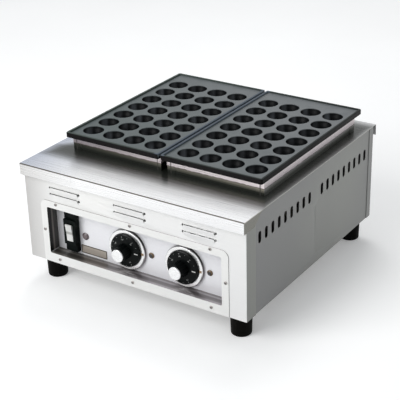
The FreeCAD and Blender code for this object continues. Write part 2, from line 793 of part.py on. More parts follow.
def dial_set(name, dial):
    """Everything on one dial's axis: bezel, knob, cap, shaft, thermostat and its two screws."""
    bezel = new_body(f"{name}_bezel")
    ring = sketch_on(bezel, "XY")
    outline(
        ring,
        ("bezel_bore_radius", "0"),
        ("bezel_radius", "0"),
        ("bezel_radius", "bezel_edge - bezel_depth"),
        ("bezel_radius - bezel_edge", "-bezel_depth"),
        ("bezel_bore_radius", "-bezel_depth"),
    )
    turned(bezel, ring)

    knob = new_body(f"{name}_dial_knob")
    section = sketch_on(knob, "XY")
    outline(
        section,
        ("0", "skirt_thickness - skirt_front"),
        ("skirt_radius", "skirt_thickness - skirt_front"),
        ("skirt_radius", "skirt_bevel / 2 - skirt_front"),
        ("skirt_radius - skirt_bevel", "-skirt_front"),
        ("grip_root_radius", "-skirt_front"),
        ("grip_tip_radius", "-skirt_front - grip_length"),
        ("0", "-skirt_front - grip_length"),
    )
    turned(knob, section)
    flute = sketch_on(knob, "XZ", "0", "grip_root_radius + flute_set", "skirt_front + grip_length")
    circle(flute, "flute_radius")
    flute_cut = pocket(knob, flute, "grip_length")
    around = knob.newObject("PartDesign::PolarPattern", "PolarPattern")
    around.Originals = [flute_cut]
    around.Axis = ([axis for axis in knob.Origin.OriginFeatures if axis.Role == "Y_Axis"][0], [""])
    around.Angle = 360
    tie(around, "Occurrences", "flute_count")
    knob.Tip = around
    bore = sketch_on(knob, "XZ", "0", "0", "skirt_front - skirt_thickness")
    circle(bore, "shaft_radius + running_gap")
    pocket(knob, bore, "shaft_in_knob", reverse=True)
    spigot_hole = sketch_on(knob, "XZ", "0", "0", "skirt_front + grip_length")
    circle(spigot_hole, "cap_spigot_radius + running_gap")
    pocket(knob, spigot_hole, "cap_spigot_length + seam_gap")

    cap = new_body(f"{name}_dial_cap")
    disc = sketch_on(cap, "XY", "0", "-skirt_front - grip_length")
    outline(
        disc,
        ("0", "cap_spigot_length"),
        ("cap_spigot_radius", "cap_spigot_length"),
        ("cap_spigot_radius", "0"),
        ("cap_radius", "0"),
        ("cap_radius", "cap_edge - cap_thickness"),
        ("cap_radius - cap_edge", "-cap_thickness"),
        ("0", "-cap_thickness"),
    )
    turned(cap, disc)

    shaft = new_body(f"{name}_thermostat_shaft")
    knob_back = "(skirt_thickness - skirt_front)"
    shaft_front = f"(shaft_in_knob - seam_gap - {knob_back})"
    rod = sketch_on(shaft, "XZ", "0", "0", shaft_front)
    circle(rod, "shaft_radius")
    pad(shaft, rod, f"{shaft_front} + sheet + shaft_in_thermostat", reverse=True)
    flat = sketch_on(shaft, "XZ", "0", "2 * shaft_radius - shaft_flat", shaft_front)
    rectangle(flat, "3 * shaft_radius", "2 * shaft_radius")
    pocket(shaft, flat, "shaft_in_knob - seam_gap")

    thermostat = new_body(f"{name}_thermostat")
    case = sketch_on(thermostat, "XZ", "0", "0", "-sheet")
    rectangle(case, "thermostat_width", "thermostat_height")
    pad(thermostat, case, "thermostat_depth", reverse=True)
    rounded(thermostat, "recess_corner", lambda edge: runs_along(edge, "y"))
    bush = sketch_on(thermostat, "XZ", "0", "0", "-sheet")
    circle(bush, "bush_radius")
    pad(thermostat, bush, "bush_length")
    tabs = []
    for side in ("-1", "1"):
        tab = sketch_on(thermostat, "XZ", f"{side} * tab_pitch / 2", "0", "-sheet - thermostat_depth")
        rectangle(tab, "tab_width", "tab_thickness")
        tabs.append(pad(thermostat, tab, "tab_length", reverse=True))
    shaft_hole = sketch_on(thermostat, "XZ", "0", "0", "bush_length - sheet")
    circle(shaft_hole, "shaft_radius + running_gap")
    pocket(thermostat, shaft_hole, "bush_length + shaft_in_thermostat + seam_gap")
    screw_holes = sketch_on(thermostat, "XZ", "0", "0", "-sheet")
    for side in ("-1", "1"):
        circle(screw_holes, "thermostat_screw_radius + running_gap", f"{side} * thermostat_screw_pitch / 2")
    pocket(thermostat, screw_holes, "thermostat_screw_length")

    screws = new_body(f"{name}_thermostat_screws")
    profile = sketch_on(screws, "XY", "-thermostat_screw_pitch / 2")
    screw_profile(profile, "thermostat_screw_radius", "thermostat_screw_length",
                  "thermostat_screw_head_radius", "thermostat_screw_head_height")
    first = turned(screws, profile)
    repeated(screws, [first], ("X", "thermostat_screw_pitch", "2"))

    for body in (bezel, knob, cap, shaft, thermostat, screws):
        place(body, dial, RECESS_FACE, DIAL_LEVEL)
    pilot_lamp(f"{name}_dial_lamp", "dial_lamp_radius", f"{dial} + dial_lamp_offset", DIAL_LEVEL)


def pilot_lamp(name, radius, x, z):
    """A domed lens snapped through the tray's floor into a holder behind it."""
    lens = new_body(f"{name}_lens")
    stem = f"({radius} - lamp_wall)"
    section = sketch_on(lens, "XY")
    outline(
        section,
        ("0", "lamp_stem"),
        (stem, "lamp_stem"),
        (stem, "0"),
        (radius, "0"),
        (radius, "-lamp_flange"),
        (f"{radius} * head_crown_share", "-lamp_flange - lamp_dome * head_crown_share"),
        ("0", "-lamp_flange - lamp_dome"),
    )
    turned(lens, section)
    holder = new_body(f"{name}_holder")
    shell = sketch_on(holder, "XY")
    outline(
        shell,
        (f"{stem} + running_gap", "sheet"),
        (f"{radius} + lamp_wall", "sheet"),
        (f"{radius} + lamp_wall", "sheet + lamp_holder_length"),
        ("0", "sheet + lamp_holder_length"),
        ("0", "lamp_stem + seam_gap"),
        (f"{stem} + running_gap", "lamp_stem + seam_gap"),
    )
    turned(holder, shell)
    for body in (lens, holder):
        place(body, x, RECESS_FACE, z)


def breaker():
    """Circuit breaker that stands through the tray's floor, held by its ears, and its toggle."""
    body = new_body("breaker_body")
    case = sketch_on(body, "XZ", "0", "0", "breaker_stand")
    rectangle(case, "breaker_width", "breaker_height")
    pad(body, case, "breaker_stand + breaker_depth", reverse=True)
    ears = sketch_on(body, "XZ", "0", "0", "-sheet")
    rectangle(ears, "breaker_width + 2 * breaker_ear", "breaker_nose_height")
    pad(body, ears, "breaker_ear_thickness", reverse=True)
    for side in ("-1", "1"):
        shoulder_z = f"{side} * (breaker_height + breaker_nose_height) / 4"
        shoulder = sketch_on(body, "XZ", "0", shoulder_z, "breaker_stand")
        rectangle(shoulder, "2 * breaker_width", "(breaker_height - breaker_nose_height) / 2")
        pocket(body, shoulder, "breaker_shoulder")
    pivot = "(breaker_stand - toggle_thickness - toggle_clearance)"
    window = sketch_on(body, "XZ", "0", "0", "breaker_stand")
    rectangle(window, "toggle_width + 2 * toggle_clearance", "toggle_height + 2 * toggle_clearance")
    pocket(body, window, "2 * toggle_thickness + 2 * toggle_clearance")
    bearing = sketch_on(body, "YZ", f"-{pivot}", "0", "0")
    circle(bearing, "toggle_pin_radius + running_gap")
    pocket(body, bearing, "toggle_width + 2 * toggle_pin_length + 2 * seam_gap", both_ways=True)

    toggle = new_body("breaker_toggle")
    rocker = sketch_on(toggle, "YZ")
    outline(
        rocker,
        ("toggle_thickness / 2", "-toggle_root / 2"),
        ("-toggle_thickness", "-toggle_height / 2"),
        ("-toggle_thickness - toggle_stand", "-toggle_height / 2"),
        ("toggle_dip - toggle_thickness - toggle_stand", "0"),
        ("-toggle_thickness - toggle_stand", "toggle_height / 2"),
        ("-toggle_thickness", "toggle_height / 2"),
        ("toggle_thickness / 2", "toggle_root / 2"),
    )
    pad(toggle, rocker, "toggle_width", both_ways=True)
    pin = sketch_on(toggle, "YZ")
    circle(pin, "toggle_pin_radius")
    pad(toggle, pin, "toggle_width + 2 * toggle_pin_length", both_ways=True)
    toggle.Placement.Rotation = FreeCAD.Rotation(FreeCAD.Vector(1, 0, 0), 0)
    tie(toggle, "Placement.Rotation.Angle", "toggle_tilt")

    place(body, BREAKER_X, RECESS_FACE, f"{CASE_BOTTOM} + breaker_rise")
    place(toggle, BREAKER_X, f"{RECESS_FACE} - {pivot}", f"{CASE_BOTTOM} + breaker_rise")


# --------------------------------------------------------------------------------------
# Feet: moulded rubber, each bolted through its web and the base pan
# --------------------------------------------------------------------------------------
def foot(name, x, y):
    """One rubber foot with its bolt, head hidden in the foot's recess, and the nut inside the case."""
    rubber = new_body(f"{name}_foot")
    section = sketch_on(rubber, "XZ")
    hole = "foot_bolt_radius + bolt_clearance"
    outline(
        section,
        (hole, "foot_height - foot_web"),
        ("foot_recess_radius", "foot_height - foot_web"),
        ("foot_recess_radius", "0"),
        ("foot_sole_radius", "0"),
        ("foot_radius", "foot_height"),
        (hole, "foot_height"),
    )
    turned(rubber, section)
    for radius, level, rim in (("foot_sole_round", "0", "foot_sole_radius"),
                               ("foot_shoulder_round", "foot_height", "foot_radius")):
        rounded(
            rubber,
            radius,
            lambda edge: reaches(edge, "z", level) and abs(edge.BoundBox.XLength / 2 - number(rim)) < SAME,
        )
    place(rubber, x, y)


def foot_hardware():
    """The four foot bolts and their nuts on the base pan's floor."""
    bolts = new_body("foot_bolts")
    nuts = new_body("foot_nuts")
    web_level = "foot_height - foot_web"
    shank = "foot_web + sheet + foot_nut_height + foot_bolt_spare"
    for x, y in FOOT_PLACES.values():
        section = sketch_on(bolts, "XZ", x, web_level, f"-({y})")
        outline(
            section,
            ("0", "-foot_bolt_head_height"),
            ("foot_bolt_head_radius", "-foot_bolt_head_height"),
            ("foot_bolt_head_radius", "0"),
            ("foot_bolt_radius", "0"),
            ("foot_bolt_radius", shank),
            ("0", shank),
        )
        turned(bolts, section)
        nut = sketch_on(nuts, "XY", x, y, f"{CASE_BOTTOM} + sheet")
        hexagon(nut, "foot_nut_radius")
        pad(nuts, nut, "foot_nut_height")
    for x, y in FOOT_PLACES.values():
        thread = sketch_on(nuts, "XY", x, y, f"{CASE_BOTTOM} + sheet + foot_nut_height")
        circle(thread, "foot_bolt_radius + running_gap")
        pocket(nuts, thread, "foot_nut_height")


def hexagon(sketch, radius):
    """A regular hexagon about the sketch's origin, its corners on a circle of the given radius."""
    corners = []
    for index in range(6):
        turn = math.radians(60 * index)
        corners.append((f"({radius}) * {math.cos(turn):.6f}", f"({radius}) * {math.sin(turn):.6f}"))
    outline(sketch, *corners)


# --------------------------------------------------------------------------------------
# Cooking side: cast plates over heater boxes, with the elements in reflector pans below
# --------------------------------------------------------------------------------------
def cooking_plate(name, x):
    """Cast plate with a raised rim and rows of half-round cups that bulge below it."""
    body = new_body(f"{name}_cooking_plate")
    blank = sketch_on(body, "XY")
    rectangle(blank, "plate_width", "plate_depth")
    pad(body, blank, "plate_thickness + plate_rim_height")
    rounded(body, "plate_corner", lambda edge: runs_along(edge, "z"))
    well = sketch_on(body, "XY", out="plate_thickness + plate_rim_height")
    rectangle(well, "plate_width - 2 * plate_rim_width", "plate_depth - 2 * plate_rim_width")
    pocket(body, well, "plate_rim_height")
    rounded(body, "plate_rim_round", lambda edge: reaches(edge, "z", "plate_thickness + plate_rim_height"))

    first_x = "-(cup_columns - 1) * cup_pitch / 2"
    first_y = "cup_front_margin - plate_depth / 2"
    centre = f"(plate_thickness + {CUP_SPHERE} - cup_depth)"
    bulge_sketch = sketch_on(body, "XZ", first_x, "0", f"-({first_y})")
    bowl_section(bulge_sketch, f"({CUP_SPHERE} + cup_wall)", centre, "plate_thickness / 2")
    bulge = turned(body, bulge_sketch)
    cup_sketch = sketch_on(body, "XZ", first_x, "0", f"-({first_y})")
    bowl_section(cup_sketch, CUP_SPHERE, centre, "plate_thickness")
    cup = turned_cut(body, cup_sketch)
    repeated(body, [bulge, cup], ("X", "cup_pitch", "cup_columns"), ("Y", "cup_pitch", "cup_rows"))
    place(body, x, PLATE_MIDDLE_Y, f"{CASE_TOP} + box_height + plate_seat_gap")


def bowl_section(sketch, radius, centre, top):
    """Half section of a bowl: an arc from its lowest point on the V axis up to the level called top."""
    r, c, t = number(radius), number(centre), number(top)
    brim = math.sqrt(r * r - (c - t) ** 2)
    whole = Part.Circle(FreeCAD.Vector(0, c, 0), FreeCAD.Vector(0, 0, 1), r)
    arc = sketch.addGeometry(Part.ArcOfCircle(whole, -math.pi / 2, math.atan2(t - c, brim)), False)
    lid = sketch.addGeometry(Part.LineSegment(FreeCAD.Vector(brim, t, 0), FreeCAD.Vector(0, t, 0)), False)
    axis = sketch.addGeometry(Part.LineSegment(FreeCAD.Vector(0, t, 0), FreeCAD.Vector(0, c - r, 0)), False)
    sketch.addConstraint(Sketcher.Constraint("Coincident", arc, 2, lid, 1))
    sketch.addConstraint(Sketcher.Constraint("Coincident", lid, 2, axis, 1))
    sketch.addConstraint(Sketcher.Constraint("Coincident", axis, 2, arc, 1))
    sketch.addConstraint(Sketcher.Constraint("Horizontal", lid))
    pin_point(sketch, arc, 3, "0", centre)
    pin_point(sketch, axis, 1, "0", top)
    rule = sketch.addConstraint(Sketcher.Constraint("Radius", arc, r))
    tie(sketch, f"Constraints[{rule}]", radius)
    sketch.addConstraint(Sketcher.Constraint("Vertical", axis))


def heater_box(name, x):
    """Open frame of folded sheet on the cover: turned in at its foot, hemmed outwards at its top."""
    body = new_body(f"{name}_heater_box")
    wall = sketch_on(body, "XY")
    rectangle(wall, BOX_WIDTH, BOX_DEPTH)
    pad(body, wall, "box_height")
    band = sketch_on(body, "XY", out="box_height")
    rectangle(band, f"{BOX_WIDTH} + 2 * box_band_rise", f"{BOX_DEPTH} + 2 * box_band_rise")
    pad(body, band, "box_band_height", reverse=True)
    for side in ("-1", "1"):
        for end in ("-1", "1"):
            strap = sketch_on(
                body,
                "XY",
                f"{side} * ({BOX_WIDTH} / 2 + box_corner_thickness - box_corner_leg / 2)",
                f"{end} * ({BOX_DEPTH} / 2 + box_corner_thickness - box_corner_leg / 2)",
            )
            rectangle(strap, "box_corner_leg", "box_corner_leg")
            pad(body, strap, "box_height - box_band_height + seam_gap")
    inside = sketch_on(body, "XY", out="box_height")
    rectangle(inside, f"{BOX_WIDTH} - 2 * box_wall", f"{BOX_DEPTH} - 2 * box_wall")
    pocket(body, inside, "box_height - sheet")
    well = sketch_on(body, "XY", out="sheet")
    rectangle(well, WELL_WIDTH, WELL_DEPTH)
    pocket(body, well, "sheet")
    place(body, x, f"{PLATE_MIDDLE_Y} + {BOX_SHIFT_Y}", CASE_TOP)


def reflector(name, x):
    """Drawn pan that hangs through the cover by its flange and carries the element."""
    body = new_body(f"{name}_reflector")
    flange = sketch_on(body, "XY")
    inset = "2 * (box_wall + seam_gap)"
    rectangle(flange, f"{BOX_WIDTH} - {inset}", f"{BOX_DEPTH} - {inset}")
    pad(body, flange, "reflector_wall")
    shell = sketch_on(body, "XY", out="reflector_wall")
    rectangle(shell, REFLECTOR_WIDTH, REFLECTOR_DEPTH)
    pad(body, shell, "reflector_depth", reverse=True)
    hollow = sketch_on(body, "XY", out="reflector_wall")
    rectangle(hollow, f"{REFLECTOR_WIDTH} - 2 * reflector_wall", f"{REFLECTOR_DEPTH} - 2 * reflector_wall")
    pocket(body, hollow, "reflector_depth - reflector_wall")
    inner = f"({REFLECTOR_WIDTH} / 2 - reflector_wall)"
    rounded(
        body,
        "recess_corner",
        lambda edge: runs_along(edge, "z") and (reaches(edge, "x", inner) or reaches(edge, "x", f"-{inner}")),
    )
    tails = sketch_on(body, "XZ", "0", "-element_drop", f"reflector_wall - {REFLECTOR_DEPTH} / 2")
    for side in ("-1", "1"):
        circle(tails, "element_radius + element_hole_gap", f"{side} * {OUTER_RUN_X}")
    pocket(body, tails, "reflector_wall")
    place(body, x, f"{PLATE_MIDDLE_Y} + {BOX_SHIFT_Y}", f"{CASE_TOP} + sheet")


def heating_element(name, x):
    """Sheathed element: four straight runs and three bends, its tails out of the pan's rear wall."""
    body = new_body(f"{name}_element")
    front = f"(element_front_margin - {REFLECTOR_DEPTH} / 2)"
    rear = f"({REFLECTOR_DEPTH} / 2 - element_rear_margin)"
    tail = f"({REFLECTOR_DEPTH} / 2 + element_tail)"
    path = sketch_on(body, "XY")
    runs = []
    for run_x, start, stop in ((f"-{OUTER_RUN_X}", tail, front), (f"-{INNER_RUN_X}", front, rear),
                               (INNER_RUN_X, rear, front), (OUTER_RUN_X, front, tail)):
        line = Part.LineSegment(FreeCAD.Vector(number(run_x), number(start), 0),
                                FreeCAD.Vector(number(run_x), number(stop), 0))
        run = path.addGeometry(line, False)
        pin_point(path, run, 1, run_x, start)
        pin_point(path, run, 2, run_x, stop)
        runs.append(run)
    for before, after, middle_x, middle_y, start_angle, near_end, far_end in (
        (runs[0], runs[1], "-element_run_pitch", front, math.pi, 1, 2),
        (runs[1], runs[2], "0", rear, 0, 2, 1),
        (runs[2], runs[3], "element_run_pitch", front, math.pi, 1, 2),
    ):
        middle = FreeCAD.Vector(number(middle_x), number(middle_y), 0)
        bend_circle = Part.Circle(middle, FreeCAD.Vector(0, 0, 1), number(INNER_RUN_X))
        bend = path.addGeometry(Part.ArcOfCircle(bend_circle, start_angle, start_angle + math.pi), False)
        path.addConstraint(Sketcher.Constraint("Tangent", before, 2, bend, near_end))
        path.addConstraint(Sketcher.Constraint("Coincident", bend, far_end, after, 1))
    section = sketch_on(body, "XZ", f"-{OUTER_RUN_X}", "0", f"-{tail}")
    circle(section, "element_radius")
    document.recompute()
    pipe = body.newObject("PartDesign::AdditivePipe", "AdditivePipe")
    pipe.Profile = section
    pipe.Spine = path
    for side in ("-1", "1"):
        terminal = sketch_on(body, "XZ", f"{side} * {OUTER_RUN_X}", "0", f"-{tail}")
        circle(terminal, "terminal_radius")
        pad(body, terminal, "terminal_length", reverse=True)
    place(body, x, f"{PLATE_MIDDLE_Y} + {BOX_SHIFT_Y}", f"{CASE_TOP} + sheet - element_drop")


def element_rests(name, x):
    """Two ceramic bars on the pan's floor whose grooves carry the element's runs."""
    body = new_body(f"{name}_element_rests")
    floor = "(reflector_depth - 2 * reflector_wall - element_drop)"
    bar = sketch_on(body, "XY", "0", "-rest_pitch / 2", f"-{floor}")
    rectangle(bar, "rest_length", "rest_width")
    block = pad(body, bar, floor)
    grooves = []
    for run_x in (f"-{OUTER_RUN_X}", f"-{INNER_RUN_X}", INNER_RUN_X, OUTER_RUN_X):
        groove = sketch_on(body, "XZ", run_x, "0", "rest_pitch / 2")
        circle(groove, "element_radius + rest_seat_gap")
        grooves.append(pocket(body, groove, "2 * rest_width", both_ways=True))
    repeated(body, [block] + grooves, ("Y", "rest_pitch", "2"))
    place(body, x, f"{PLATE_MIDDLE_Y} + {BOX_SHIFT_Y}", f"{CASE_TOP} + sheet - element_drop")


# --------------------------------------------------------------------------------------
# Mains side: terminal block on the base pan and the gland in the rear panel
# --------------------------------------------------------------------------------------
def terminal_block():
    """Moulded block of four terminals on the base pan's floor."""
    body = new_body("terminal_block")
    base = sketch_on(body, "XY")
    rectangle(base, "block_length", "block_width")
    pad(body, base, "block_height")
    cell = sketch_on(body, "XY", "-(block_cell_count - 1) * block_cell_pitch / 2", "0", "block_height")
    rectangle(cell, "block_cell_width", "2 * block_width")
    first = pocket(body, cell, "block_cell_depth")
    repeated(body, [first], ("X", "block_cell_pitch", "block_cell_count"))
    place(body, "block_x", "block_y", f"{CASE_BOTTOM} + sheet")


def cord_gland():
    """Moulded gland for the mains lead, flanged outside the rear panel and held by a nut inside."""
    gland = new_body("cord_gland")
    section = sketch_on(gland, "XY")
    outline(
        section,
        ("gland_bore_radius", "gland_flange_length + gland_nose_length"),
        ("gland_nose_radius", "gland_flange_length + gland_nose_length"),
        ("gland_flange_radius - 2 * gland_edge", "gland_flange_length"),
        ("gland_flange_radius", "gland_flange_length - gland_edge"),
        ("gland_flange_radius", "0"),
        ("gland_barrel_radius", "0"),
        ("gland_barrel_radius", "-gland_barrel_length"),
        ("gland_bore_radius", "-gland_barrel_length"),
    )
    turned(gland, section)
    nut = new_body("gland_nut")
    ring = sketch_on(nut, "XZ", out="sheet")
    hexagon(ring, "gland_nut_radius")
    circle(ring, "gland_barrel_radius + running_gap")
    pad(nut, ring, "gland_nut_length")
    for body in (gland, nut):
        place(body, "gland_x", REAR_FACE, f"{CASE_BOTTOM} + gland_rise")


# --------------------------------------------------------------------------------------
# The whole machine
# --------------------------------------------------------------------------------------
base_pan()
front_panel()
rear_panel()
side_panel("left_side_panel", "-1")
side_panel("right_side_panel", "1")
top_cover()
control_tray()
tray_screws()
dial_set("left", LEFT_DIAL_X)
dial_set("right", RIGHT_DIAL_X)
pilot_lamp("power_lamp", "power_lamp_radius", POWER_LAMP_X, f"{CASE_BOTTOM} + power_lamp_rise")
breaker()
for foot_name, (foot_x, foot_y) in FOOT_PLACES.items():
    foot(foot_name, foot_x, foot_y)
foot_hardware()
for plate_name, plate_x in (("left", LEFT_PLATE_X), ("right", RIGHT_PLATE_X)):
    cooking_plate(plate_name, plate_x)
    heater_box(plate_name, plate_x)
    reflector(plate_name, plate_x)
    heating_element(plate_name, plate_x)
    element_rests(plate_name, plate_x)
terminal_block()
cord_gland()
document.recompute()

failed = [item.Label for item in document.Objects if "Invalid" in item.State or "Error" in item.State]
failed += [part.Label for part in parts if part.Shape.isNull() or not part.Shape.isValid()]
if failed:
    raise RuntimeError("not built: " + ", ".join(failed))
os.makedirs("parts", exist_ok=True)
for part in parts:
    part.Shape.exportStep(os.path.join("parts", part.Label + ".step"))
    box = part.Shape.BoundBox
    print(f"{part.Label}: {len(part.Shape.Solids)} solid(s), z {box.ZMin:.1f} to {box.ZMax:.1f}")
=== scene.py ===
"""Looks of a countertop takoyaki maker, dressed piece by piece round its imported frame. Lengths are in metres."""

import json
import math

import bmesh
import bpy
from mathutils import Matrix, Vector

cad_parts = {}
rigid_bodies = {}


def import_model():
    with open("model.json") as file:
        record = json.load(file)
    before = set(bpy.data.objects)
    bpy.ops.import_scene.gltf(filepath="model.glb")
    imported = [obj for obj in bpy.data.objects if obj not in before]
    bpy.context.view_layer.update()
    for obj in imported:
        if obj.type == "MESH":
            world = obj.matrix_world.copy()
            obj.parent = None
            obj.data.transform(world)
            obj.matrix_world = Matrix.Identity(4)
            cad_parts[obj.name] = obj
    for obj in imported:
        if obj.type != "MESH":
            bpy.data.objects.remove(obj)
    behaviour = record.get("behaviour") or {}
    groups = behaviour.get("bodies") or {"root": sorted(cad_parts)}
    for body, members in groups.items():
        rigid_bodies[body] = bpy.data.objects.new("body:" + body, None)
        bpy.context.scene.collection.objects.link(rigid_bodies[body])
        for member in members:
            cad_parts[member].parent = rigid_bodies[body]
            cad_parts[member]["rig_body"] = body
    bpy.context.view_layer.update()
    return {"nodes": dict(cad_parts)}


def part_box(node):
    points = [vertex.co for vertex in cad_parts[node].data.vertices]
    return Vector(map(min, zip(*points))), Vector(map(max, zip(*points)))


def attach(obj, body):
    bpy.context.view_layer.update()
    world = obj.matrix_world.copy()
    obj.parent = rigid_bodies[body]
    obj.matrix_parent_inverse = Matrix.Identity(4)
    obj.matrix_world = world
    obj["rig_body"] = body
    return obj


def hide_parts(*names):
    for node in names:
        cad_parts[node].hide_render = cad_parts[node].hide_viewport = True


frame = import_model()
nodes = frame["nodes"]
scene = bpy.context.scene
scene.view_settings.view_transform = "Standard"

# --------------------------------------------------------------------------------------
# Camera: stands to the front right of the machine and looks down on it through a long lens.
# Its focal length is given in picture widths and its turns in degrees.
# --------------------------------------------------------------------------------------
FOCAL_LENGTH = 1150.2 / 400
PLACE = (1.0842, -1.6340, 1.0617)
YAW, PITCH, ROLL = (math.radians(angle) for angle in (33.815, 25.673, -1.472))
camera_data = bpy.data.cameras.new("camera")
camera_data.sensor_width = 36
camera_data.lens = camera_data.sensor_width * FOCAL_LENGTH
looking = Vector((-math.sin(YAW) * math.cos(PITCH), math.cos(YAW) * math.cos(PITCH), -math.sin(PITCH)))
camera = bpy.data.objects.new("camera", camera_data)
camera.location = PLACE
camera.rotation_mode = "QUATERNION"
camera.rotation_quaternion = looking.to_track_quat("-Z", "Y") @ Matrix.Rotation(ROLL, 3, "Z").to_quaternion()
scene.collection.objects.link(camera)
scene.camera = camera

# --------------------------------------------------------------------------------------
# Studio: a pale floor, a soft lamp high at the front left, a weaker one overhead, and a pale
# surround that fills the shadows. Metal sees the floor and the surround bright, up to a dark
# ceiling; less light comes back up from the floor than the eye sees on it.
# --------------------------------------------------------------------------------------
FLOOR_HALF = 12.0
PAPER_GLOW = 0.2
LAMP_TARGET = Vector((0, 0, 0.12))
FILL_STRENGTH = 0.42
# Where a Mix node keeps its two colours and what it makes of them.
FIRST_COLOUR, SECOND_COLOUR, MIXED_COLOUR = 6, 7, 2


def add(tree, kind, **settings):
    """A new shader node, its inputs and properties set by name."""
    node = tree.nodes.new("ShaderNode" + kind)
    for key, value in settings.items():
        if key in node.inputs:
            node.inputs[key].default_value = value
        else:
            setattr(node, key, value)
    return node


def plug(tree, value, socket):
    """Set a socket to a number or a colour of three numbers, or link another node's output to it."""
    if isinstance(value, tuple):
        socket.default_value = (*value, 1)
    elif isinstance(value, (int, float)):
        socket.default_value = value
    else:
        tree.links.new(value, socket)


def new_material(name):
    """An empty node material with its tree and its Principled shader."""
    material = bpy.data.materials.new(name)
    material.use_nodes = True
    tree = material.node_tree
    tree.nodes.clear()
    shader = add(tree, "BsdfPrincipled")
    tree.links.new(shader.outputs["BSDF"], add(tree, "OutputMaterial").inputs["Surface"])
    return material, tree, shader


def object_noise(tree, scale, detail=3.0, rough=0.5, stretch=(1, 1, 1)):
    """Noise on Object coordinates, stretched by three factors along X, Y and Z."""
    place = add(tree, "TexCoord")
    mapping = add(tree, "Mapping", Scale=stretch)
    noise = add(tree, "TexNoise", Scale=scale, Detail=detail, Roughness=rough)
    tree.links.new(place.outputs["Object"], mapping.inputs["Vector"])
    tree.links.new(mapping.outputs["Vector"], noise.inputs["Vector"])
    return noise.outputs["Fac"]


def ranged(tree, source, low, high, start=0.3, stop=0.7):
    """A value that runs from low to high as source, usually a noise, runs from start to stop."""
    node = add(tree, "MapRange")
    for name, value in (("From Min", start), ("From Max", stop), ("To Min", low), ("To Max", high)):
        node.inputs[name].default_value = value
    tree.links.new(source, node.inputs["Value"])
    return node.outputs["Result"]


def share(tree, source, start=0.3, stop=0.7):
    """How far source has come on its way from start to stop, from 0 to 1."""
    return ranged(tree, source, 0, 1, start, stop)


def blended(tree, factor, first, second, how="MIX"):
    """Two colours mixed by a factor; a colour may be three numbers or another node's output."""
    node = add(tree, "Mix", data_type="RGBA", blend_type=how)
    plug(tree, factor, node.inputs["Factor"])
    plug(tree, first, node.inputs[FIRST_COLOUR])
    plug(tree, second, node.inputs[SECOND_COLOUR])
    return node.outputs[MIXED_COLOUR]


def axes(tree, output):
    """The three parts of a texture coordinate, such as Object or Normal."""
    split = add(tree, "SeparateXYZ")
    tree.links.new(add(tree, "TexCoord").outputs[output], split.inputs["Vector"])
    return split.outputs["X"], split.outputs["Y"], split.outputs["Z"]


def worked(tree, operation, first, second=None):
    """A sum on one or two values."""
    node = add(tree, "Math", operation=operation)
    plug(tree, first, node.inputs[0])
    if second is not None:
        plug(tree, second, node.inputs[1])
    return node.outputs[0]


def reaches_eye(tree):
    """1 on rays that the eye sees straight, in gloss or through glass, and 0 on those that only carry light."""
    rays = add(tree, "LightPath")
    straight = worked(tree, "MAXIMUM", rays.outputs["Is Camera Ray"], rays.outputs["Is Glossy Ray"])
    return worked(tree, "MAXIMUM", straight, rays.outputs["Is Transmission Ray"])


def lamp(name, place, size, watts):
    """A square soft lamp that points at the middle of the machine."""
    data = bpy.data.lights.new(name, "AREA")
    data.size = size
    data.energy = watts
    thing = bpy.data.objects.new(name, data)
    thing.location = place
    thing.rotation_mode = "QUATERNION"
    thing.rotation_quaternion = (LAMP_TARGET - Vector(place)).to_track_quat("-Z", "Y")
    thing.visible_camera = False
    scene.collection.objects.link(thing)


bm = bmesh.new()
bmesh.ops.create_grid(bm, x_segments=1, y_segments=1, size=FLOOR_HALF)
floor_mesh = bpy.data.meshes.new("studio_floor")
bm.to_mesh(floor_mesh)
bm.free()
studio_floor = bpy.data.objects.new("studio_floor", floor_mesh)
scene.collection.objects.link(studio_floor)
floor_paint, tree, shader = new_material("floor_paper")
paper = blended(tree, share(tree, object_noise(tree, 3.0)), (0.92, 0.92, 0.92), (0.95, 0.95, 0.95))
in_view = reaches_eye(tree)
tree.links.new(blended(tree, in_view, (0.5, 0.5, 0.5), paper), shader.inputs["Base Color"])
tree.links.new(worked(tree, "MULTIPLY", in_view, PAPER_GLOW), shader.inputs["Emission Strength"])
shader.inputs["Emission Color"].default_value = (1, 1, 1, 1)
shader.inputs["Roughness"].default_value = 0.9
shader.inputs["Specular IOR Level"].default_value = 0.1
studio_floor.data.materials.append(floor_paint)

lamp("key_lamp", (-1.0, -2.6, 1.9), 2.2, 70)
lamp("top_lamp", (-0.5, 1.2, 2.5), 1.2, 20)

world = bpy.data.worlds.new("surround")
scene.world = world
world.use_nodes = True
tree = world.node_tree
tree.nodes.clear()
fill = add(tree, "Background", Color=(0.95, 0.98, 1.0, 1), Strength=FILL_STRENGTH)
seen = add(tree, "Background")
ceiling = add(tree, "ValToRGB")
for element, position, colour in zip(ceiling.color_ramp.elements, (0.62, 0.86),
                                     ((0.93, 0.94, 0.95, 1), (0.16, 0.16, 0.17, 1))):
    element.position = position
    element.color = colour
tree.links.new(axes(tree, "Generated")[2], ceiling.inputs["Fac"])
tree.links.new(ceiling.outputs["Color"], seen.inputs["Color"])
mix = add(tree, "MixShader")
for socket, value in zip(mix.inputs, (reaches_eye(tree), fill.outputs[0], seen.outputs[0])):
    tree.links.new(value, socket)
tree.links.new(mix.outputs[0], add(tree, "OutputWorld").inputs["Surface"])

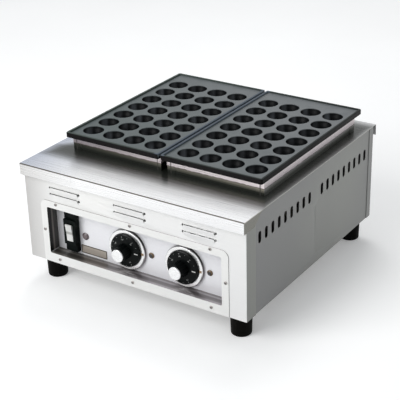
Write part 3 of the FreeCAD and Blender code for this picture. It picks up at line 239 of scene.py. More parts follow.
# --------------------------------------------------------------------------------------
# Case: base pan, front and rear panels and the two sides. Stainless sheet with a hairline
# brush, folded at the corners; the sides hold two rows of punched slots. The sides and the rear
# are the front's sheet painted much darker, as painted shade.
# --------------------------------------------------------------------------------------
SAME_POINT = 4e-6
FLAT_BELOW = math.radians(0.4)
SHARP_ABOVE = math.radians(32)
GRAIN_X = (8, 1500, 1500)
GRAIN_Y = (1500, 8, 1500)
FRONT_LIGHT, FRONT_DARK = (0.92, 0.915, 0.89), (0.84, 0.84, 0.84)
# The sides and the rear: the front's steel painted much darker, as painted shade.
SHADED_SIDE_LIGHT, SHADED_SIDE_DARK = (0.30, 0.305, 0.285), (0.24, 0.24, 0.245)
# How far the painted shade at the front sheet's left end reaches.
LEFT_END_SHADE_REACH = 0.07
front_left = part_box("front_panel")[0].x


def eased(node, width, material, segments=2):
    """A copy of a node that stands for it, its sharp edges eased by a hair, as folded, moulded and cast ones are."""
    mesh = nodes[node].data.copy()
    mesh.materials.clear()
    mesh.materials.append(material)
    bm = bmesh.new()
    bm.from_mesh(mesh)
    bmesh.ops.remove_doubles(bm, verts=bm.verts, dist=SAME_POINT)
    bmesh.ops.dissolve_limit(bm, angle_limit=FLAT_BELOW, verts=bm.verts, edges=bm.edges)
    for face in bm.faces:
        face.smooth = True
    bm.to_mesh(mesh)
    bm.free()
    mesh.set_sharp_from_angle(angle=SHARP_ABOVE)
    piece = bpy.data.objects.new(node + "_finished", mesh)
    scene.collection.objects.link(piece)
    bevel = piece.modifiers.new("eased_edges", "BEVEL")
    bevel.width = width
    bevel.segments = segments
    bevel.limit_method = "ANGLE"
    bevel.angle_limit = SHARP_ABOVE
    bevel.harden_normals = True
    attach(piece, nodes[node]["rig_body"])
    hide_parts(node)


def bumped(tree, shader, height, distance, strength=1.0):
    """Relief on the shader's normal, distance in metres."""
    bump = add(tree, "Bump", Strength=strength, Distance=distance)
    tree.links.new(height, bump.inputs["Height"])
    tree.links.new(bump.outputs["Normal"], shader.inputs["Normal"])


def brushed_steel(name, light, dark, stretch, roughness, metal=0.7, cloud=2.2, toned=None):
    """Hairline stainless: fine streaks along the axis with the small stretch, over soft cloudy patches.

    toned(tree, colour) may give the sheet further tones of its own.
    """
    material, tree, shader = new_material(name)
    streak = object_noise(tree, 1.0, 4.0, 0.6, stretch)
    tone = blended(tree, share(tree, object_noise(tree, cloud, 2.0)), light, dark)
    if toned:
        tone = toned(tree, tone)
    grey = add(tree, "CombineColor")
    level = ranged(tree, streak, 0.965, 1.0)
    for channel in ("Red", "Green", "Blue"):
        tree.links.new(level, grey.inputs[channel])
    tree.links.new(blended(tree, 1, tone, grey.outputs[0], "MULTIPLY"), shader.inputs["Base Color"])
    tree.links.new(ranged(tree, streak, roughness - 0.02, roughness + 0.03), shader.inputs["Roughness"])
    shader.inputs["Metallic"].default_value = metal
    bumped(tree, shader, streak, 0.00002, 0.3)
    return material


def facing(tree, part, start, stop):
    """0 to 1 as a face turns to look either way along an axis, given that axis's part of the normal."""
    return share(tree, worked(tree, "ABSOLUTE", part), start, stop)


def duller_ends(tree, tone):
    """Painted shade on the front sheet: darker towards its left end, and its returns as grey as the shaded sides."""
    along, _, _ = axes(tree, "Object")
    to_right, _, _ = axes(tree, "Normal")
    tone = blended(tree, share(tree, along, front_left, front_left + LEFT_END_SHADE_REACH), (0.56, 0.55, 0.54), tone)
    return blended(tree, facing(tree, to_right, 0.75, 0.97), tone, SHADED_SIDE_LIGHT)


front_steel = brushed_steel("front_steel", FRONT_LIGHT, FRONT_DARK, GRAIN_X, 0.38, 0.4, toned=duller_ends)
shaded_side_steel = brushed_steel("shaded_side_steel", SHADED_SIDE_LIGHT, SHADED_SIDE_DARK, GRAIN_Y, 0.42)
pan_steel = brushed_steel("pan_steel", (0.50, 0.50, 0.49), (0.42, 0.42, 0.41), GRAIN_X, 0.45)
for node, steel in (("front_panel", front_steel), ("rear_panel", shaded_side_steel), ("left_side_panel", shaded_side_steel),
                    ("right_side_panel", shaded_side_steel), ("base_pan", pan_steel)):
    eased(node, 0.0003, steel)

# --------------------------------------------------------------------------------------
# Top cover: a smoother sheet than the front, folded down at the front and rear, in which the
# heater boxes mirror themselves. Its bends carry painted shade, a painted shadow and reflection
# lie dark close round the boxes, and a painted cool reflection tints its left end.
# --------------------------------------------------------------------------------------
COOL_REFLECTION_REACH = 0.13
HALO_REACH = 0.054
# Beside the boxes the painted dark halo, shadow and reflection, reaches less far by these factors, from the left end to
# the right.
SHORTER_BESIDE = (1.1, 1.7)
# It fades out over these spans round the left box's side and behind its front.
HALO_FADE_ACROSS = (-0.01, 0.02)
HALO_FADE_BACK = 0.05
# The side ends of the sheet carry painted shade, with a painted highlight above a line this far below the cover's top.
EDGE_HIGHLIGHT_FROM, EDGE_HIGHLIGHT_TO = 0.0018, 0.0013
cover_low, cover_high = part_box("top_cover")
boxes_low, boxes_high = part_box("left_heater_box")[0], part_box("right_heater_box")[1]


def ramped(tree, source, *stops):
    """A grey that follows source through (position, level) stops."""
    node = add(tree, "ValToRGB")
    band = node.color_ramp
    while len(band.elements) < len(stops):
        band.elements.new(0.5)
    for element, (position, level) in zip(band.elements, stops):
        element.position = position
        element.color = (level, level, level, 1)
    tree.links.new(source, node.inputs["Fac"])
    return node.outputs["Color"]


def outside(tree, value, low, high):
    """How far a value lies outside a span."""
    middle = worked(tree, "ABSOLUTE", worked(tree, "SUBTRACT", value, (low + high) / 2))
    return worked(tree, "SUBTRACT", middle, (high - low) / 2)


def burn(tree, along, back):
    """How dark the painted shadow and reflection round the boxes are: least beside the right one, and not at all left
    of the left one.
    """
    beside = worked(tree, "MULTIPLY", outside(tree, along, boxes_low.x, boxes_high.x),
                    ranged(tree, along, *SHORTER_BESIDE, boxes_low.x, boxes_high.x))
    bare = worked(tree, "MAXIMUM", beside, outside(tree, back, boxes_low.y, boxes_high.y))
    halo_fade_left = worked(tree, "MULTIPLY", ranged(tree, along, 1, 0, *(boxes_low.x + span for span in HALO_FADE_ACROSS)),
                        ranged(tree, back, 0, HALO_REACH, boxes_low.y, boxes_low.y + HALO_FADE_BACK))
    bare = worked(tree, "ADD", bare, halo_fade_left)
    return ramped(tree, share(tree, bare, 0, HALO_REACH), (0, 1), (0.35, 0.97), (0.55, 0.86), (0.8, 0.42), (1, 0))


def used_cover(tree, tone):
    """Painted light: a cool painted reflection towards the left end, a painted shadow and reflection round the boxes,
    painted shade along the front and rear bends, and painted shade with a painted highlight on the side ends.
    """
    along, back, up = axes(tree, "Object")
    to_right, to_rear, to_top = axes(tree, "Normal")
    # Painted cool reflection on the upward faces towards the left end.
    cool_reflection = blended(tree, share(tree, to_top, 0.5, 0.9), (0.66, 0.65, 0.64), (0.46, 0.49, 0.57))
    tone = blended(tree, share(tree, along, cover_low.x, cover_low.x + COOL_REFLECTION_REACH), cool_reflection, tone)
    # Painted shadow and reflection of the boxes, dark close round them.
    tone = blended(tree, burn(tree, along, back), tone, (0.022, 0.026, 0.020))
    # Painted shade along the front and rear bends.
    bend_shade = ramped(tree, worked(tree, "ABSOLUTE", to_rear), (0.10, 0), (0.22, 1), (0.93, 1), (0.985, 0))
    tone = blended(tree, bend_shade, tone, (0.055, 0.048, 0.036))
    # Painted shade on the side ends, with a painted highlight along their top.
    edge_highlight = share(tree, up, cover_high.z - EDGE_HIGHLIGHT_FROM, cover_high.z - EDGE_HIGHLIGHT_TO)
    shaded_end_tone = blended(tree, edge_highlight, (0.24, 0.235, 0.205), (0.62, 0.61, 0.56))
    return blended(tree, facing(tree, to_right, 0.6, 0.95), tone, shaded_end_tone)


cover_steel = brushed_steel("cover_steel", (0.93, 0.93, 0.925), (0.87, 0.87, 0.88), GRAIN_X, 0.28, 0.45,
                            toned=used_cover)
eased("top_cover", 0.0003, cover_steel)

# --------------------------------------------------------------------------------------
# Control tray: drawn from thinner, brighter sheet and screwed over the opening in the front
# panel by eight pan-head screws with cross recesses. Its walls carry painted shade and painted reflections.
# --------------------------------------------------------------------------------------
# The painted shade on the left end of the sills gives way over this span from the tray's left edge.
LEFT_SILL_FROM, LEFT_SILL_TO = 0.05, 0.2
# A screw's head: its flat crown as a share of its radius, and the square in the crown as a
# share of that. The square is a grid of cells, in which the arms of the cross are measured
# from the middle. The cross narrows as it sinks by a share of the head's height.
HEAD_CROWN = 0.7
SQUARE_IN_CROWN = 0.62
RECESS_CELLS = 9
ARM_HALF_WIDTH, ARM_LENGTH = 1.2, 3.2
CROSS_TAPER = 0.75
CROSS_DEPTH = 0.6
TURN_BETWEEN_SCREWS = 37
tray_left, tray_front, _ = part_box("control_tray")[0]
recess_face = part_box("left_bezel")[1].y


def drawn_walls(tree, tone):
    """Painted shade and painted reflections run in dark bands round the four walls; the wall beside the breaker is the
    darkest.
    """
    along, back, _ = axes(tree, "Object")
    to_right, _, to_top = axes(tree, "Normal")
    depth = share(tree, back, recess_face, tray_front)
    on_sill = ramped(tree, depth, (0, 0.45), (0.12, 0.1), (0.3, 0.85), (0.45, 0.1), (0.7, 0.25), (0.85, 0.9), (1, 1))
    on_upright = ramped(tree, depth, (0, 0.12), (0.42, 0.16), (0.5, 1), (0.58, 0.9), (0.66, 0.03), (1, 0))
    sill = blended(tree, on_sill, (0.055, 0.048, 0.048), (0.30, 0.275, 0.285))
    left_sill = blended(tree, on_sill, (0.018, 0.016, 0.012), (0.16, 0.15, 0.13))
    sill = blended(tree, share(tree, along, tray_left + LEFT_SILL_FROM, tray_left + LEFT_SILL_TO), left_sill, sill)
    upright = blended(tree, on_upright, (0.003, 0.003, 0.002), (0.19, 0.17, 0.155))
    tone = blended(tree, share(tree, depth, 0.9, 0.97), tone, (0.86, 0.86, 0.845))
    tone = blended(tree, facing(tree, to_top, 0.5, 0.9), tone, sill)
    return blended(tree, facing(tree, to_right, 0.5, 0.9), tone, upright)


tray_steel = brushed_steel("tray_steel", (0.91, 0.91, 0.93), (0.86, 0.86, 0.89), GRAIN_X, 0.34, 0.35,
                           toned=drawn_walls)
eased("control_tray", 0.0003, tray_steel)

zinc, tree, shader = new_material("zinc_plate")
mottle = object_noise(tree, 900)
tree.links.new(blended(tree, share(tree, mottle), (0.46, 0.43, 0.41), (0.32, 0.30, 0.29)),
               shader.inputs["Base Color"])
tree.links.new(ranged(tree, mottle, 0.25, 0.42), shader.inputs["Roughness"])
shader.inputs["Metallic"].default_value = 0.9


def separate_boxes(node):
    """Lowest and highest corner of each separate solid in a node."""
    solid = bmesh.new()
    solid.from_mesh(nodes[node].data)
    bmesh.ops.remove_doubles(solid, verts=solid.verts, dist=1e-6)
    waiting = set(solid.verts)
    found = []
    while waiting:
        group = {waiting.pop()}
        edge_of_group = list(group)
        while edge_of_group:
            for edge in edge_of_group.pop().link_edges:
                for vert in edge.verts:
                    if vert in waiting:
                        waiting.remove(vert)
                        group.add(vert)
                        edge_of_group.append(vert)
        spans = [[vert.co[axis] for vert in group] for axis in range(3)]
        found.append((Vector(map(min, spans)), Vector(map(max, spans))))
    solid.free()
    return sorted(found, key=lambda span: (round(span[0].z, 3), span[0].x))


def finished(name, bm, material, body):
    """A new piece from a bmesh in its place, with its material and its body."""
    bmesh.ops.recalc_face_normals(bm, faces=bm.faces)
    mesh = bpy.data.meshes.new(name)
    bm.to_mesh(mesh)
    bm.free()
    mesh.materials.append(material)
    piece = bpy.data.objects.new(name, mesh)
    scene.collection.objects.link(piece)
    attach(piece, body)
    return piece


def cross_head(bm, middle, radius, height, turn):
    """One pan head facing the front: a square of cells with a cross sunk in it, bridged to the round head."""
    part = bmesh.new()
    half = radius * HEAD_CROWN * SQUARE_IN_CROWN
    cell = 2 * half / RECESS_CELLS
    bmesh.ops.create_grid(part, x_segments=RECESS_CELLS, y_segments=RECESS_CELLS, size=half)
    square = [edge for edge in part.edges if edge.is_boundary]
    cross = []
    for face in part.faces:
        across, up = sorted(abs(value) / cell for value in face.calc_center_median().xy)
        if across < ARM_HALF_WIDTH and up < ARM_LENGTH:
            cross.append(face)
    sunk = bmesh.ops.extrude_face_region(part, geom=cross)["geom"]
    sunk = [vert for vert in sunk if isinstance(vert, bmesh.types.BMVert)]
    bmesh.ops.scale(part, verts=sunk, vec=(CROSS_TAPER, CROSS_TAPER, 1))
    bmesh.ops.translate(part, verts=sunk, vec=(0, 0, -CROSS_DEPTH * height))
    crown = set(bmesh.ops.create_circle(part, segments=4 * RECESS_CELLS, radius=radius * HEAD_CROWN)["verts"])
    ring = [edge for edge in part.edges if crown.issuperset(edge.verts)]
    bmesh.ops.bridge_loops(part, edges=square + ring)
    for wider, lower in ((1 / HEAD_CROWN, -height / 2), (1, -height / 2)):
        grown = bmesh.ops.extrude_edge_only(part, edges=ring)["geom"]
        ring = [edge for edge in grown if isinstance(edge, bmesh.types.BMEdge)]
        verts = [vert for vert in grown if isinstance(vert, bmesh.types.BMVert)]
        bmesh.ops.scale(part, verts=verts, vec=(wider, wider, 1))
        bmesh.ops.translate(part, verts=verts, vec=(0, 0, lower))
    bmesh.ops.holes_fill(part, edges=ring, sides=4 * RECESS_CELLS)
    bmesh.ops.rotate(part, verts=part.verts, matrix=Matrix.Rotation(turn, 3, "Z"))
    bmesh.ops.rotate(part, verts=part.verts, matrix=Matrix.Rotation(math.radians(90), 3, "X"))
    bmesh.ops.translate(part, verts=part.verts, vec=middle)
    mesh = bpy.data.meshes.new("one_head")
    part.to_mesh(mesh)
    part.free()
    bm.from_mesh(mesh)
    bpy.data.meshes.remove(mesh)


def skinned(node, material):
    """Give a node a material in place of the one that it came with."""
    nodes[node].data.materials.clear()
    nodes[node].data.materials.append(material)


bm = bmesh.new()
for number, (low, high) in enumerate(separate_boxes("tray_screws")):
    cross_head(bm, ((low.x + high.x) / 2, low.y, (low.z + high.z) / 2), (high.x - low.x) / 2, tray_front - low.y,
               math.radians(TURN_BETWEEN_SCREWS * number))
tray_screw_heads = finished("tray_screw_heads", bm, zinc, "case")
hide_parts("tray_screws")
for node in ("left_thermostat_screws", "right_thermostat_screws", "foot_bolts", "foot_nuts"):
    skinned(node, zinc)

# --------------------------------------------------------------------------------------
# Blank plate: a thin etched plate with a raised dark frame round a plain field, glued to the
# tray's floor beside the breaker.
# --------------------------------------------------------------------------------------
PLATE_LEFT, PLATE_RIGHT = -0.1325, -0.0745
PLATE_BOTTOM, PLATE_TOP = 0.0682, 0.0845
PLATE_THICK = 0.0006
PLATE_CORNER = 0.0012
FRAME_WIDTH = 0.0013
FIELD_SLOPE, FIELD_DEPTH = 0.0002, 0.0002
dark_etch, tree, shader = new_material("dark_etch")
tree.links.new(blended(tree, share(tree, object_noise(tree, 160)), (0.030, 0.026, 0.016), (0.060, 0.050, 0.034)),
               shader.inputs["Base Color"])
shader.inputs["Roughness"].default_value = 0.4
shader.inputs["Metallic"].default_value = 0.4
plain_field = brushed_steel("plain_field", (0.50, 0.44, 0.39), (0.40, 0.36, 0.31), GRAIN_X, 0.35, 0.5)
bm = bmesh.new()
slab = bmesh.ops.create_cube(bm, size=1)["verts"]
bmesh.ops.scale(bm, verts=slab, vec=(PLATE_RIGHT - PLATE_LEFT, PLATE_THICK, PLATE_TOP - PLATE_BOTTOM))
bmesh.ops.translate(bm, verts=slab, vec=((PLATE_LEFT + PLATE_RIGHT) / 2, recess_face - PLATE_THICK / 2,
                                         (PLATE_BOTTOM + PLATE_TOP) / 2))
corners = [edge for edge in bm.edges if abs(edge.verts[0].co.y - edge.verts[1].co.y) > PLATE_THICK / 2]
bmesh.ops.bevel(bm, geom=corners, offset=PLATE_CORNER, offset_type="OFFSET", segments=4, profile=0.5,
                affect="EDGES", material=-1)
bm.normal_update()
field = [min(bm.faces, key=lambda face: face.calc_center_median().y)]
bmesh.ops.inset_region(bm, faces=field, thickness=FRAME_WIDTH, depth=0)
bmesh.ops.inset_region(bm, faces=field, thickness=FIELD_SLOPE, depth=-FIELD_DEPTH)
field[0].material_index = 1
blank_plate = finished("blank_plate", bm, dark_etch, "case")
blank_plate.data.materials.append(plain_field)

# --------------------------------------------------------------------------------------
# Dials: moulded black knobs with a fluted grip and a bevelled skirt, each in a turned and
# chromed bezel, with a spun aluminium cap in the end of the grip. The skirt is printed with a
# pointer and a scale in degrees, and the bezel with an index mark beside its lamp.
# --------------------------------------------------------------------------------------
# A moulding darker than this is matt, and its gloss wanders this much either way.
BLACK_BELOW = 0.03
GLOSS_SPREAD = 0.06
SKIRT_FRONT = 0.012
PRINT_PROUD = 0.00006
# Each printed mark: inner radius, outer radius and width.
POINTER = (0.0208, 0.0284, 0.0015)
LONG_TICK = (0.0258, 0.0286, 0.0005)
SHORT_TICK = (0.0270, 0.0286, 0.0004)
INDEX_MARK = (0.0325, 0.0374, 0.0046)
NUMBER_RADIUS = 0.0222
NUMBER_HEIGHT = 0.0034
DEGREES_PER_TICK = 25
TOP_DEGREES = 300


def moulded(name, colour, roughness, size=1200, coat=0.0, toned=None):
    """Moulded plastic or rubber, a little uneven in tone and gloss, with a fine skin. toned is as for the sheets."""
    material, tree, shader = new_material(name)
    skin = object_noise(tree, size, 2.0)
    wide = object_noise(tree, 35)
    lighter = tuple(min(1, channel * 1.25 + 0.001) for channel in colour)
    tone = blended(tree, share(tree, wide), colour, lighter)
    if toned:
        tone = toned(tree, tone)
    tree.links.new(tone, shader.inputs["Base Color"])
    tree.links.new(ranged(tree, wide, roughness - GLOSS_SPREAD, roughness + GLOSS_SPREAD),
                   shader.inputs["Roughness"])
    shader.inputs["Specular IOR Level"].default_value = 0.05 if max(colour) < BLACK_BELOW else 0.5
    shader.inputs["Coat Weight"].default_value = coat
    shader.inputs["Coat Roughness"].default_value = 0.12
    bumped(tree, shader, skin, 0.00003, 0.6)
    return material


def turned_metal(name, colour, roughness, metal=0.95, toned=None):
    """Turned or spun metal, slightly uneven in tone. toned is as for the brushed sheets."""
    material, tree, shader = new_material(name)
    rings = object_noise(tree, 300)
    tone = blended(tree, share(tree, rings), colour, tuple(channel * 0.9 for channel in colour))
    if toned:
        tone = toned(tree, tone)
    tree.links.new(tone, shader.inputs["Base Color"])
    tree.links.new(ranged(tree, rings, roughness * 0.8, roughness * 1.3), shader.inputs["Roughness"])
    shader.inputs["Metallic"].default_value = metal
    return material


def dark_outer_wall(tree, tone):
    """Painted shade and reflection on the outer wall: darker than the polished face, most of all along its top."""
    _, to_rear, to_top = axes(tree, "Normal")
    wall = blended(tree, share(tree, to_top, -0.7, 0.5), (0.34, 0.29, 0.31), (0.035, 0.035, 0.033))
    on_wall = ranged(tree, worked(tree, "ABSOLUTE", to_rear), 1, 0, 0.15, 0.55)
    return blended(tree, on_wall, tone, wall)


def radial_bar(bm, middle, mark, angle):
    """A printed bar on a face that looks to the front, from one radius to another at an angle from 3 o'clock."""
    inner, outer, width = mark
    bar = bmesh.ops.create_cube(bm, size=1)["verts"]
    bmesh.ops.scale(bm, verts=bar, vec=(outer - inner, 2 * PRINT_PROUD, width))
    bmesh.ops.translate(bm, verts=bar, vec=((inner + outer) / 2, 0, 0))
    bmesh.ops.rotate(bm, verts=bar, matrix=Matrix.Rotation(-angle, 3, "Y"))
    bmesh.ops.translate(bm, verts=bar, vec=middle)


def radial_number(bm, middle, angle, words):
    """A plain number whose head points away from the dial's middle."""
    letters = bpy.data.curves.new("number", "FONT")
    letters.body = words
    letters.size = NUMBER_HEIGHT
    letters.extrude = PRINT_PROUD
    letters.resolution_u = 2
    letters.align_x = "CENTER"
    letters.align_y = "CENTER"
    writing = bpy.data.objects.new("number", letters)
    scene.collection.objects.link(writing)
    mesh = bpy.data.meshes.new_from_object(writing.evaluated_get(bpy.context.evaluated_depsgraph_get()))
    part = bmesh.new()
    part.from_mesh(mesh)
    bmesh.ops.remove_doubles(part, verts=part.verts, dist=1e-7)
    bmesh.ops.rotate(part, verts=part.verts, matrix=Matrix.Rotation(math.radians(90), 3, "X"))
    bmesh.ops.translate(part, verts=part.verts, vec=(0, 0, NUMBER_RADIUS))
    bmesh.ops.rotate(part, verts=part.verts, matrix=Matrix.Rotation(math.radians(90) - angle, 3, "Y"))
    bmesh.ops.translate(part, verts=part.verts, vec=middle)
    part.to_mesh(mesh)
    part.free()
    bm.from_mesh(mesh)
    bpy.data.objects.remove(writing)
    bpy.data.curves.remove(letters)
    bpy.data.meshes.remove(mesh)


knob_plastic = moulded("knob_plastic", (0.003, 0.004, 0.004), 0.3, coat=0.05)
bezel_chrome = turned_metal("bezel_chrome", (0.90, 0.90, 0.90), 0.16, 0.8, toned=dark_outer_wall)
cap_metal = turned_metal("cap_metal", (0.92, 0.92, 0.92), 0.3, 0.75)
shaft_brass = turned_metal("shaft_brass", (0.72, 0.56, 0.3), 0.3)
thermostat_plastic = moulded("thermostat_plastic", (0.05, 0.042, 0.036), 0.45)
white_print = moulded("white_print", (0.72, 0.72, 0.70), 0.5)
grey_print = moulded("grey_print", (0.48, 0.49, 0.48), 0.5)
amber_print = moulded("amber_print", (0.24, 0.15, 0.08), 0.5)
for side in ("left", "right"):
    eased(f"{side}_dial_knob", 0.0003, knob_plastic)
    eased(f"{side}_bezel", 0.0003, bezel_chrome)
    eased(f"{side}_dial_cap", 0.0002, cap_metal)
    skinned(f"{side}_thermostat_shaft", shaft_brass)
    skinned(f"{side}_thermostat", thermostat_plastic)
for side in ("left", "right"):
    knob_low, knob_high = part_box(f"{side}_dial_knob")
    bezel_low, bezel_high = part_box(f"{side}_bezel")
    dial_x, dial_z = (knob_low.x + knob_high.x) / 2, (knob_low.z + knob_high.z) / 2
    skirt_face = (dial_x, bezel_high.y - SKIRT_FRONT, dial_z)
    bm = bmesh.new()
    radial_bar(bm, skirt_face, POINTER, 0)
    finished(f"{side}_dial_pointer", bm, white_print, f"{side}_dial")
    bm = bmesh.new()
    for degrees in range(DEGREES_PER_TICK, TOP_DEGREES + 1, DEGREES_PER_TICK):
        turn = math.radians(degrees)
        if degrees % (2 * DEGREES_PER_TICK):
            radial_bar(bm, skirt_face, SHORT_TICK, turn)
        else:
            radial_bar(bm, skirt_face, LONG_TICK, turn)
            radial_number(bm, skirt_face, turn, str(degrees))
    finished(f"{side}_dial_scale", bm, grey_print, f"{side}_dial")
    bm = bmesh.new()
    radial_bar(bm, (dial_x, bezel_low.y, dial_z), INDEX_MARK, 0)
    finished(f"{side}_dial_index", bm, amber_print, "case")

# --------------------------------------------------------------------------------------
# Pilot lamps: an amber one beside each dial and a smoky one for the mains. Each is a domed
# plastic lens, snapped through the tray's floor into a black moulded holder behind it.
# --------------------------------------------------------------------------------------
# Each lens's tone at its middle and round its edge; they meet this far out, over this reach.
AMBER = ((0.003, 0.003, 0.002), (0.14, 0.085, 0.04))
SMOKE = ((0.135, 0.105, 0.11), (0.10, 0.075, 0.08))
LENS_CORE = 0.68
LENS_BLUR = 0.12


def lens_plastic(name, lens, middle, edge):
    """A clear coloured lens over a dark holder: one tone at its middle, another round its edge."""
    material, tree, shader = new_material(name)
    low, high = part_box(lens)
    radius = (high.x - low.x) / 2
    place = add(tree, "Mapping", Location=(-(low.x + high.x) / 2, 0, -(low.z + high.z) / 2))
    flat = add(tree, "VectorMath", operation="MULTIPLY")
    flat.inputs[1].default_value = (1, 0, 1)
    out = add(tree, "VectorMath", operation="LENGTH")
    tree.links.new(add(tree, "TexCoord").outputs["Object"], place.inputs["Vector"])
    tree.links.new(place.outputs["Vector"], flat.inputs[0])
    tree.links.new(flat.outputs["Vector"], out.inputs[0])
    ring = share(tree, out.outputs["Value"], (LENS_CORE - LENS_BLUR) * radius, (LENS_CORE + LENS_BLUR) * radius)
    tree.links.new(blended(tree, ring, middle, edge), shader.inputs["Base Color"])
    tree.links.new(ranged(tree, object_noise(tree, 500), 0.2, 0.3), shader.inputs["Roughness"])
    shader.inputs["Coat Weight"].default_value = 0.2
    shader.inputs["Coat Roughness"].default_value = 0.05
    return material


black_plastic = moulded("black_plastic", (0.02, 0.02, 0.02), 0.4)
for name, (middle, edge) in (("left_dial_lamp", AMBER), ("right_dial_lamp", AMBER), ("power_lamp", SMOKE)):
    skinned(f"{name}_lens", lens_plastic(f"{name}_clear", f"{name}_lens", middle, edge))
    skinned(f"{name}_holder", black_plastic)

# --------------------------------------------------------------------------------------
# Circuit breaker: a black phenolic body that stands through the tray's floor, held by its
# ears, with a white rocker toggle that turns on two pins.
# --------------------------------------------------------------------------------------
toggle_low, toggle_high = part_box("breaker_toggle")


def grimy_waist(tree, tone):
    """Painted shade lies across the middle of the rocker, in its hollow."""
    up = share(tree, axes(tree, "Object")[2], toggle_low.z, toggle_high.z)
    waist_shade = ramped(tree, up, (0.38, 0), (0.46, 1), (0.54, 1), (0.62, 0))
    return blended(tree, waist_shade, tone, (0.42, 0.42, 0.40))


breaker_plastic = moulded("breaker_plastic", (0.0018, 0.0034, 0.0028), 0.34)
toggle_plastic = moulded("toggle_plastic", (0.70, 0.70, 0.68), 0.35, toned=grimy_waist)
eased("breaker_body", 0.0004, breaker_plastic)
eased("breaker_toggle", 0.0004, toggle_plastic)

# --------------------------------------------------------------------------------------
# Feet: moulded black rubber, matt all over. Each is held by a bolt that goes up through its
# web and the base pan into a nut.
# --------------------------------------------------------------------------------------
foot_rubber = moulded("foot_rubber", (0.0015, 0.0015, 0.001), 0.6, size=600)
for corner in ("front_left", "front_right", "rear_left", "rear_right"):
    eased(corner + "_foot", 0.0006, foot_rubber, 3)

# --------------------------------------------------------------------------------------
# Cooking plates: cast iron seasoned with oil. The flat web between the cups is grey with a painted
# sheen that lightens it towards the rear and right, so it is darker and greener towards the front
# left; the rims are darker, and the cups and outer walls nearly black, but for a painted highlight
# on one side of each cup.
# --------------------------------------------------------------------------------------
RIM_HEIGHT = 0.0035
RIM_WIDTH = 0.006
# Levels about the web's, between which the tone of the cups and that of the rims meet its own.
CUP_FADE = (-0.0016, -0.0004)
RIM_FADE = (0.0006, 0.0016)
# A rim's wear ends this far from the other plate, and the walls' tone starts this far past the edge.
WORN_RIM_FADE = (1.2 * RIM_WIDTH, 1.6 * RIM_WIDTH)
OUTER_WALL_FADE = (-0.004, -0.002)
# The side of each cup that carries the painted highlight looks this much to the right and to the rear.
HIGHLIGHT_TO_RIGHT, HIGHLIGHT_TO_REAR = 0.83, 0.56
plates_low, plates_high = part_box("left_cooking_plate")[0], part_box("right_cooking_plate")[1]
web_level = plates_high.z - RIM_HEIGHT


def seasoned_iron(name, low, high, inner_edge):
    """One plate's skin. inner_edge is where its rim meets the other plate, worn to a blue-grey."""
    material, tree, shader = new_material(name)
    along, back, up = axes(tree, "Object")
    to_right, to_rear, to_top = axes(tree, "Normal")
    bloom = object_noise(tree, 26)
    patch = share(tree, bloom)

    # The web's own grey, partly lifted by a painted sheen towards the rear and right.
    sheen_reach = worked(tree, "ADD", ranged(tree, along, 0, 0.5, plates_low.x, plates_high.x),
                 ranged(tree, back, 0, 0.5, plates_low.y, plates_high.y))
    near_tone = blended(tree, patch, (0.100, 0.120, 0.120), (0.126, 0.145, 0.148))
    far_tone = blended(tree, patch, (0.156, 0.168, 0.176), (0.195, 0.205, 0.212))
    web_tone = blended(tree, share(tree, sheen_reach, 0.15, 0.75), near_tone, far_tone)

    # A painted highlight on one side of each cup.
    highlight_side = worked(tree, "ADD", worked(tree, "MULTIPLY", to_right, HIGHLIGHT_TO_RIGHT),
                         worked(tree, "MULTIPLY", to_rear, HIGHLIGHT_TO_REAR))
    cup_highlight = ramped(tree, highlight_side, (0.1, 0), (0.35, 1), (0.6, 0.9), (0.85, 0))
    cup_tone = blended(tree, worked(tree, "MULTIPLY", cup_highlight, patch), (0.0014, 0.0020, 0.0026),
                       (0.085, 0.092, 0.102))
    tone = blended(tree, share(tree, up, *(web_level + fade for fade in CUP_FADE)), cup_tone, web_tone)

    from_inner_edge = worked(tree, "ABSOLUTE", worked(tree, "SUBTRACT", along, inner_edge))
    inner = ranged(tree, from_inner_edge, 1, 0, *WORN_RIM_FADE)
    across = share(tree, along, plates_low.x, plates_high.x)
    rim_tone = blended(tree, across, (0.055, 0.072, 0.064), (0.014, 0.018, 0.017))
    rim_tone = blended(tree, inner, rim_tone, (0.080, 0.100, 0.125))
    tone = blended(tree, share(tree, up, *(web_level + fade for fade in RIM_FADE)), tone, rim_tone)

    upright = ranged(tree, worked(tree, "ABSOLUTE", to_top), 1, 0, 0.25, 0.7)
    upright = worked(tree, "MULTIPLY", upright, worked(tree, "SUBTRACT", 1, inner))
    wall = worked(tree, "MAXIMUM", upright, facing(tree, to_rear, 0.55, 0.9))
    past_edge = worked(tree, "MAXIMUM", outside(tree, along, low.x, high.x), outside(tree, back, low.y, high.y))
    wall = worked(tree, "MULTIPLY", wall, share(tree, past_edge, *OUTER_WALL_FADE))
    tree.links.new(blended(tree, wall, tone, (0.0036, 0.0026, 0.0028)), shader.inputs["Base Color"])
    tree.links.new(ranged(tree, bloom, 0.34, 0.46), shader.inputs["Roughness"])
    shader.inputs["Specular IOR Level"].default_value = 0.08
    bumped(tree, shader, object_noise(tree, 420, 4.0), 0.00005, 0.5)
    return material


for side in ("left", "right"):
    low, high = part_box(f"{side}_cooking_plate")
    iron = seasoned_iron(f"{side}_seasoned_iron", low, high, high.x if side == "left" else low.x)
    eased(f"{side}_cooking_plate", 0.0009, iron, 3)

# --------------------------------------------------------------------------------------
# Heater boxes: folded sheet frames with a hemmed band, warmed to a pale rose, with painted shade
# below it; inside them the reflector pans, the sheathed elements and their ceramic rests.
# --------------------------------------------------------------------------------------
BAND_HEIGHT = 0.015
HEM_HEIGHT = 0.0012
HEM_BLUR = 0.0003
HEM_RIPPLE = 0.0007
SHADE_START = 0.005
# The walls that face each other carry painted shade to this far from the middle of the gap.
GAP_REACH = 0.03
SEAM_INSET = 0.008
SEAM_STRENGTH = 0.75
boxes_middle = (boxes_low.x + boxes_high.x) / 2


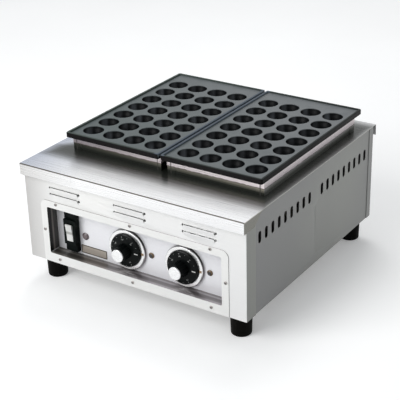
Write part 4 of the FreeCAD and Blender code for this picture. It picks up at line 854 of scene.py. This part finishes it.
def warmed_steel(name, low, high):
    """The band is warmed to a pale rose, dimmer on the left box. Under its uneven hem the wall carries painted shade,
    darkest at its foot and on the left box and least near the right front corner; the walls that face sideways carry
    less of it, but for those that face each other across the gap.
    """
    material, tree, shader = new_material(name)
    along, _, up = axes(tree, "Object")
    to_right, _, _ = axes(tree, "Normal")
    streak = object_noise(tree, 1.0, 4.0, stretch=(6, 900, 900))
    patch = share(tree, object_noise(tree, 14, 4.0))
    ripple = object_noise(tree, 90, 2.0, stretch=(1, 1, 0))
    across = share(tree, along, boxes_low.x, boxes_high.x)
    hem = high.z - BAND_HEIGHT

    dim_rose = blended(tree, patch, (0.42, 0.37, 0.39), (0.32, 0.28, 0.29))
    rose = blended(tree, patch, (0.88, 0.80, 0.81), (0.76, 0.68, 0.70))
    band = blended(tree, across, dim_rose, rose)

    below_hem_tone = blended(tree, across, (0.040, 0.042, 0.030), (0.32, 0.30, 0.245))
    # Painted shade at the wall's foot and between the boxes.
    foot_shade = blended(tree, patch, (0.006, 0.008, 0.005), (0.012, 0.015, 0.010))
    depth = share(tree, up, low.z + SHADE_START, hem)
    front_wall = blended(tree, depth, foot_shade, below_hem_tone)
    side_wall = blended(tree, depth, (0.16, 0.165, 0.15), (0.55, 0.54, 0.52))
    to_gap = worked(tree, "ABSOLUTE", worked(tree, "SUBTRACT", along, boxes_middle))
    side_wall = blended(tree, ranged(tree, to_gap, 1, 0, GAP_REACH / 2, GAP_REACH), side_wall, foot_shade)
    sideways = facing(tree, to_right, 0.4, 0.7)
    lower = blended(tree, sideways, front_wall, side_wall)

    level = worked(tree, "ADD", up, ranged(tree, ripple, -HEM_RIPPLE, HEM_RIPPLE))
    tone = blended(tree, share(tree, level, hem - HEM_BLUR, hem + HEM_BLUR), lower, (0.13, 0.10, 0.095))
    over_hem = share(tree, level, hem + HEM_HEIGHT - HEM_BLUR, hem + HEM_HEIGHT + HEM_BLUR)
    tone = blended(tree, over_hem, tone, band)

    from_end = worked(tree, "MULTIPLY", outside(tree, along, low.x, high.x), -1)
    seam = ramped(tree, share(tree, from_end, 0, 2 * SEAM_INSET), (0.40, 0), (0.46, 1), (0.54, 1), (0.60, 0))
    seam = worked(tree, "MULTIPLY", seam, worked(tree, "SUBTRACT", 1, sideways))
    tone = blended(tree, worked(tree, "MULTIPLY", seam, SEAM_STRENGTH), tone, (0.05, 0.045, 0.04))
    tree.links.new(tone, shader.inputs["Base Color"])
    tree.links.new(ranged(tree, streak, 0.25, 0.38), shader.inputs["Roughness"])
    shader.inputs["Metallic"].default_value = 0.5
    return material


pan_metal = brushed_steel("pan_metal", (0.62, 0.61, 0.57), (0.45, 0.43, 0.38), GRAIN_X, 0.42, 0.85, 9)
element_sheath = turned_metal("element_sheath", (0.16, 0.13, 0.11), 0.5, 0.8)
rest_ceramic = moulded("rest_ceramic", (0.62, 0.58, 0.5), 0.6)
for side in ("left", "right"):
    box = f"{side}_heater_box"
    eased(box, 0.0003, warmed_steel(f"{side}_warmed_steel", *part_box(box)))
    skinned(f"{side}_reflector", pan_metal)
    skinned(f"{side}_element", element_sheath)
    skinned(f"{side}_element_rests", rest_ceramic)

# --------------------------------------------------------------------------------------
# Mains side: a terminal block moulded in pale plastic on the base pan, and the black gland
# for the mains lead in the rear panel, held by its nut from inside.
# --------------------------------------------------------------------------------------
skinned("terminal_block", moulded("block_plastic", (0.55, 0.52, 0.45), 0.5))
skinned("cord_gland", black_plastic)
skinned("gland_nut", black_plastic)
